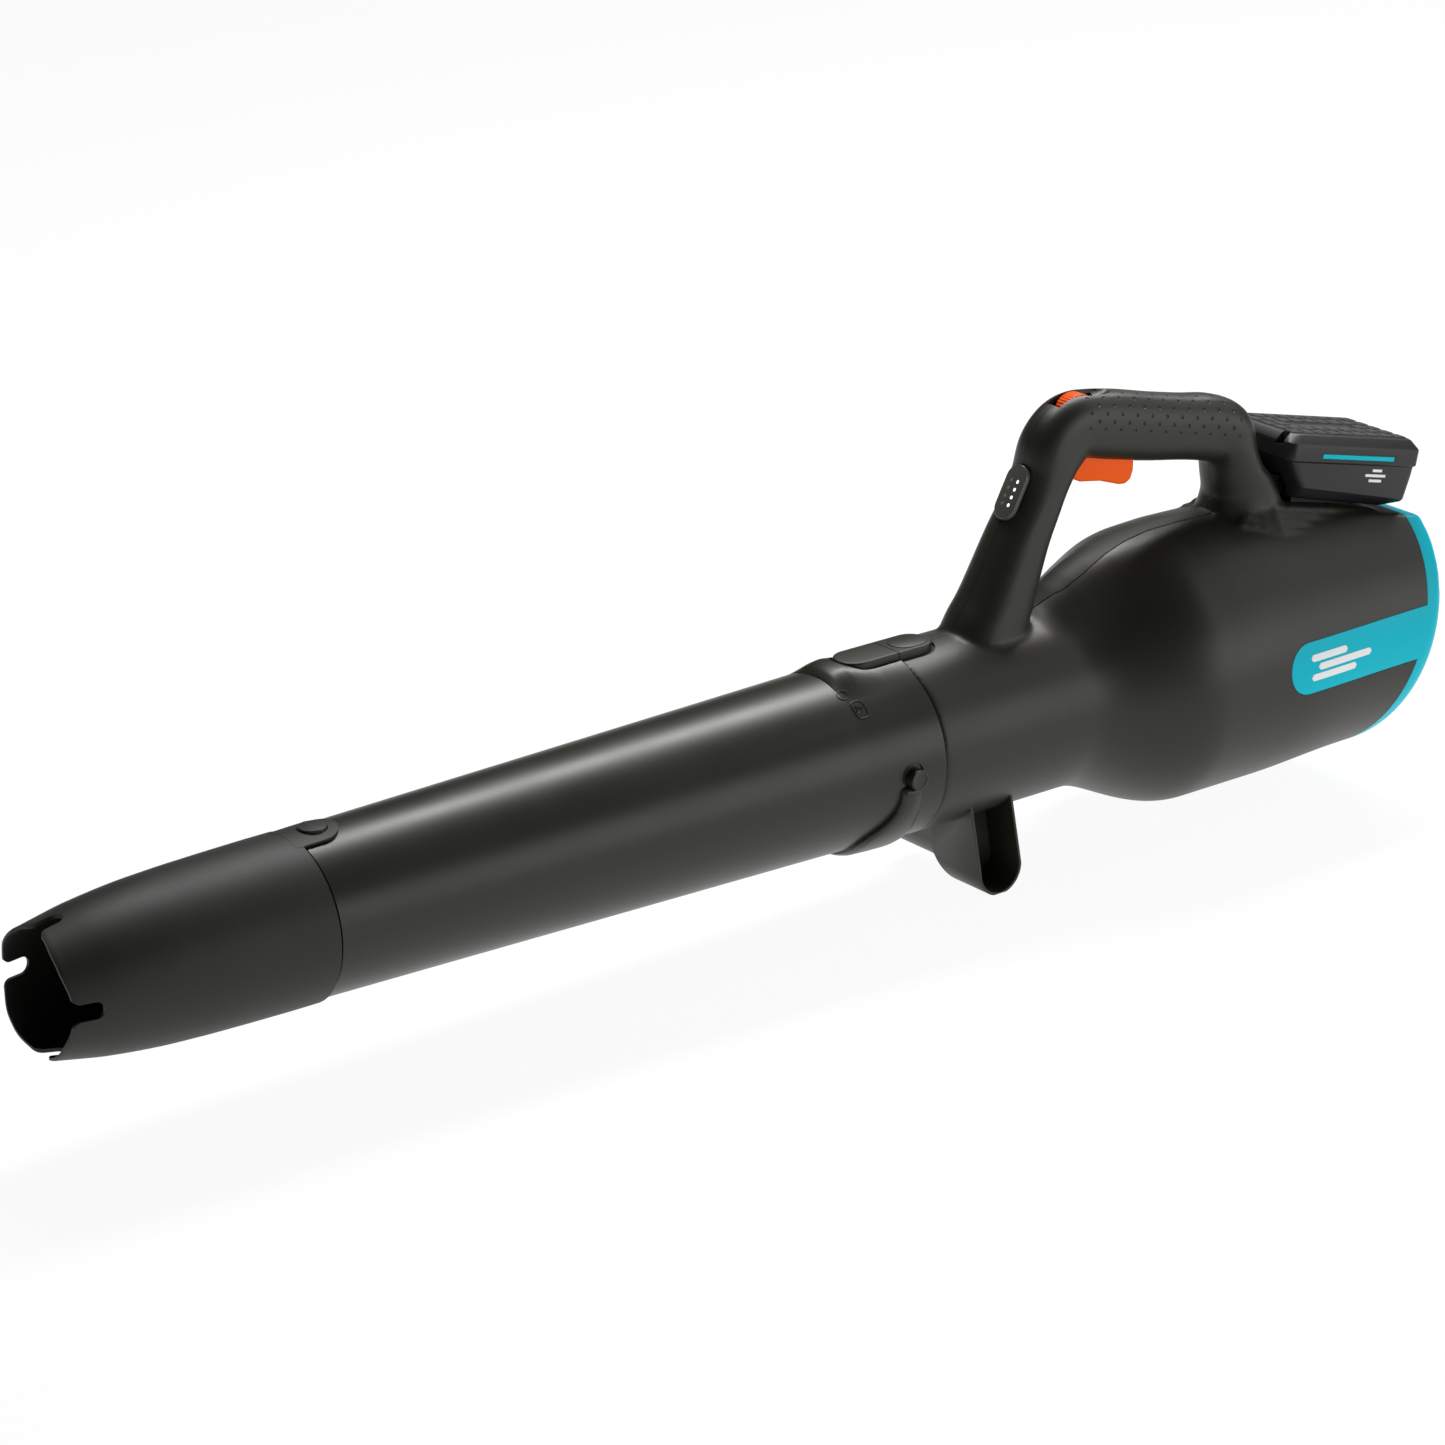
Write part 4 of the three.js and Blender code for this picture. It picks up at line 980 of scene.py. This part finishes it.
# %% Display
panel = prism("display_panel_skin", stadium(-18.3, 18.3, 8.8, steps=20), -2.8, 1.2, on_post)
soften(panel, 0.8, 3)
dress(panel, panel_grey)
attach(panel, "housing")
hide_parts("display_panel")
lit = moulded("lit mark, white", "#ffffff", 0.4, clouds=0.0)
glow = next(n for n in lit.node_tree.nodes if n.type == "BSDF_PRINCIPLED")
glow.inputs["Emission Color"].default_value = (1, 1, 1, 1)
glow.inputs["Emission Strength"].default_value = 0.9
dull = moulded("unlit mark, grey", "#80817a", 0.4, clouds=0.02)
for i in range(4):
    for column, finish in ((-3.2, lit), (2.6, dull)):
        mark = prism(f"display_mark_{i}_{'a' if column < 0 else 'b'}",
                     stadium(-9.6 + i * 5.2, -7.2 + i * 5.2, 1.0, column, 6), 0.9, 1.32, on_post)
        dress(mark, finish)
        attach(mark, "housing")

# %% [markdown]
# ## Battery
# The battery lies upside down on its bay. Its case narrows towards the housing, its lid has
# chamfered edges and a field of raised pads, and a thin coloured strip runs along each side.

# %% Battery case and lid
def tapered(name, levels, radius):
    """Stacked rounded rectangles. Each level is (height, front, rear, half width)."""
    steps = 6
    count = 4 * (steps + 1)

    def place(row, angle):
        z, low, high, half = levels[row]
        corner = min(radius, half - 0.1)
        u, v = rounded(low, high, -half, half, corner, steps)[round(angle / tau * count) % count]
        return on_tilt(u, v, z)

    return loft(name, len(levels), count, place)


CASE = [  # height in front, height behind, front, rear, half width
    (170.6, 167.6, 290, 377, 25.5), (171.8, 168.6, 288.5, 379, 27.5), (178.6, 172.6, 284.5, 385.2, 35.4),
    (180.2, 174.4, 283.4, 386.2, 36.4), (190, 190, 276, 388.6, 36.7), (196.4, 196.4, 272, 389.2, 36.7)]


def case_point(row, angle):
    near, far, low, high, half = CASE[row]
    u, v = rounded(low, high, -half, half, 6, 6)[round(angle / tau * 28) % 28]
    share = (u - low) / (high - low)
    return on_tilt(u, v, near + (far - near) * share)


case = loft("battery_case_skin", len(CASE), 28, case_point)
cut(case, prism("channel", [(250, -21.6), (356, -21.6), (356, 21.6), (250, 21.6)], 160, 185.5, battery_plan))
smooth(case, 25)
lid_skin = tapered("battery_lid_skin", [
    (196.8, 269.6, 390.4, 36.9), (197.6, 269, 391, 37.5), (207.6, 269, 391, 37.5),
    (208.6, 269.3, 390.7, 37.2),
    (213.4, 273.4, 386.6, 33.0), (214.0, 274.6, 385.4, 31.8)], 6)
for side in (-1, 1):
    low, high = sorted((36.9 * side, 40 * side))
    cut(lid_skin, prism("stripe_room", rounded(297.4, 366.1, low, high, 0.3, 2), 199.6, 203.2, battery_plan))
cut(lid_skin, prism("release_room", [(386.4, -14), (400, -14), (400, 14), (386.4, 14)], 198.2, 207.6,
                    battery_plan))
for y in (-24.5, 24.5):
    cut(lid_skin, prism("finger_notch", stadium(262, 276, 3.2, y), 206, 220, battery_plan))
smooth(lid_skin, 25)
pad_proto = tapered("lid_pad_0", [(213.8, 0, 10.4, 4.8), (214.6, 0.4, 10.0, 4.4), (214.9, 1.0, 9.4, 3.8)],
                    0.8)
pads = []
for row in range(5):
    for column in range(9):
        if row == 2 and 2 <= column <= 6:
            continue
        pad_copy = copy_of(pad_proto, f"lid_pad_{row}_{column}")
        shift = on_tilt(275.6 + column * 12.2, (row - 2) * 11.6, 0) - on_tilt(0, 0, 0)
        for vertex in pad_copy.data.vertices:
            vertex.co += shift
        pads.append(pad_copy)
bpy.data.objects.remove(pad_proto)
activate(pads[0])
for pad_copy in pads:
    pad_copy.select_set(True)
bpy.ops.object.join()
lid_pads = bpy.context.active_object
lid_pads.name = "battery_lid_pads"
smooth(lid_pads, 25)
for piece in (case, lid_skin, lid_pads):
    dress(piece, battery_black)
    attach(piece, "battery")
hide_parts("battery_case")
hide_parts("battery_lid")

print("battery with", len(pads), "pads on its lid")

# %% [markdown]
# A thin coloured strip is let into each side of the lid, and an orange key at the rear frees the
# battery. Both are plain outlines with thickness and softened edges, as the real ones are.

# %% Strips and release key
for side, name in ((-1, "battery_stripe_left"), (1, "battery_stripe_right")):
    low, high = sorted((36.7 * side, 37.75 * side))
    strip = prism(name + "_skin", rounded(298, 365.5, low, high, 0.25, 2), 199.9, 202.9, battery_plan)
    soften(strip, 0.2, 2)
    dress(strip, turquoise)
    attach(strip, "battery")
    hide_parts(name)
release = prism("battery_release_skin", rounded(387.8, 391.9, -13.6, 13.6, 1.2), 198.6, 207.2, battery_plan)
soften(release, 0.8, 2)
dress(release, orange)
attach(release, "battery_release_body")
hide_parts("battery_release")

# %% [markdown]
# ## Print
# A plain picture of moving air, three bars of different length, is printed on each side band and
# on the battery. The bars are thin skins that follow the belly.

# %% Air bars
def belly_bar(name, x_low, x_high, z, half, side):
    """A printed bar lying on the side band."""
    deselect()
    bpy.ops.mesh.primitive_grid_add(x_subdivisions=24, y_subdivisions=4, size=1)
    bar = bpy.context.active_object
    bar.name = name
    for vertex in bar.data.vertices:
        u, v = vertex.co.x + 0.5, vertex.co.y * 2
        x = x_low + (x_high - x_low) * u
        from_end = min(x - x_low, x_high - x)
        tall = half if from_end > half else sqrt(max(0.0, half ** 2 - (half - from_end) ** 2))
        height = z + v * max(tall, 0.02)
        radius = belly_radius(x - SLANT * ease(x, 230, RING_FRONT) * height) + 0.06
        vertex.co = at(x, side * sqrt(radius ** 2 - height ** 2), height)
    apply(bar, "SOLIDIFY", thickness=0.16 * MM, offset=0)
    tidy_normals(bar)
    smooth(bar, 40)
    dress(bar, white_print)
    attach(bar, "housing")


for side, word in ((-1, "left"), (1, "right")):
    belly_bar(f"air_bar_{word}_1", 283, 316, 13.5, 2.3, side)
    belly_bar(f"air_bar_{word}_2", 289, 338, 7, 2.3, side)
    belly_bar(f"air_bar_{word}_3", 283, 324, 0.5, 2.3, side)
    for i, (low_u, high_u) in enumerate(((346, 358), (342, 361), (348, 357))):
        v_low, v_high = sorted((36.35 * side, 36.85 * side))
        bar = prism(f"battery_bar_{word}_{i}", rounded(low_u, high_u, v_low, v_high, 0.2, 2),
                    185.5 + i * 3.4, 187.3 + i * 3.4, battery_plan)
        dress(bar, white_print)
        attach(bar, "battery")
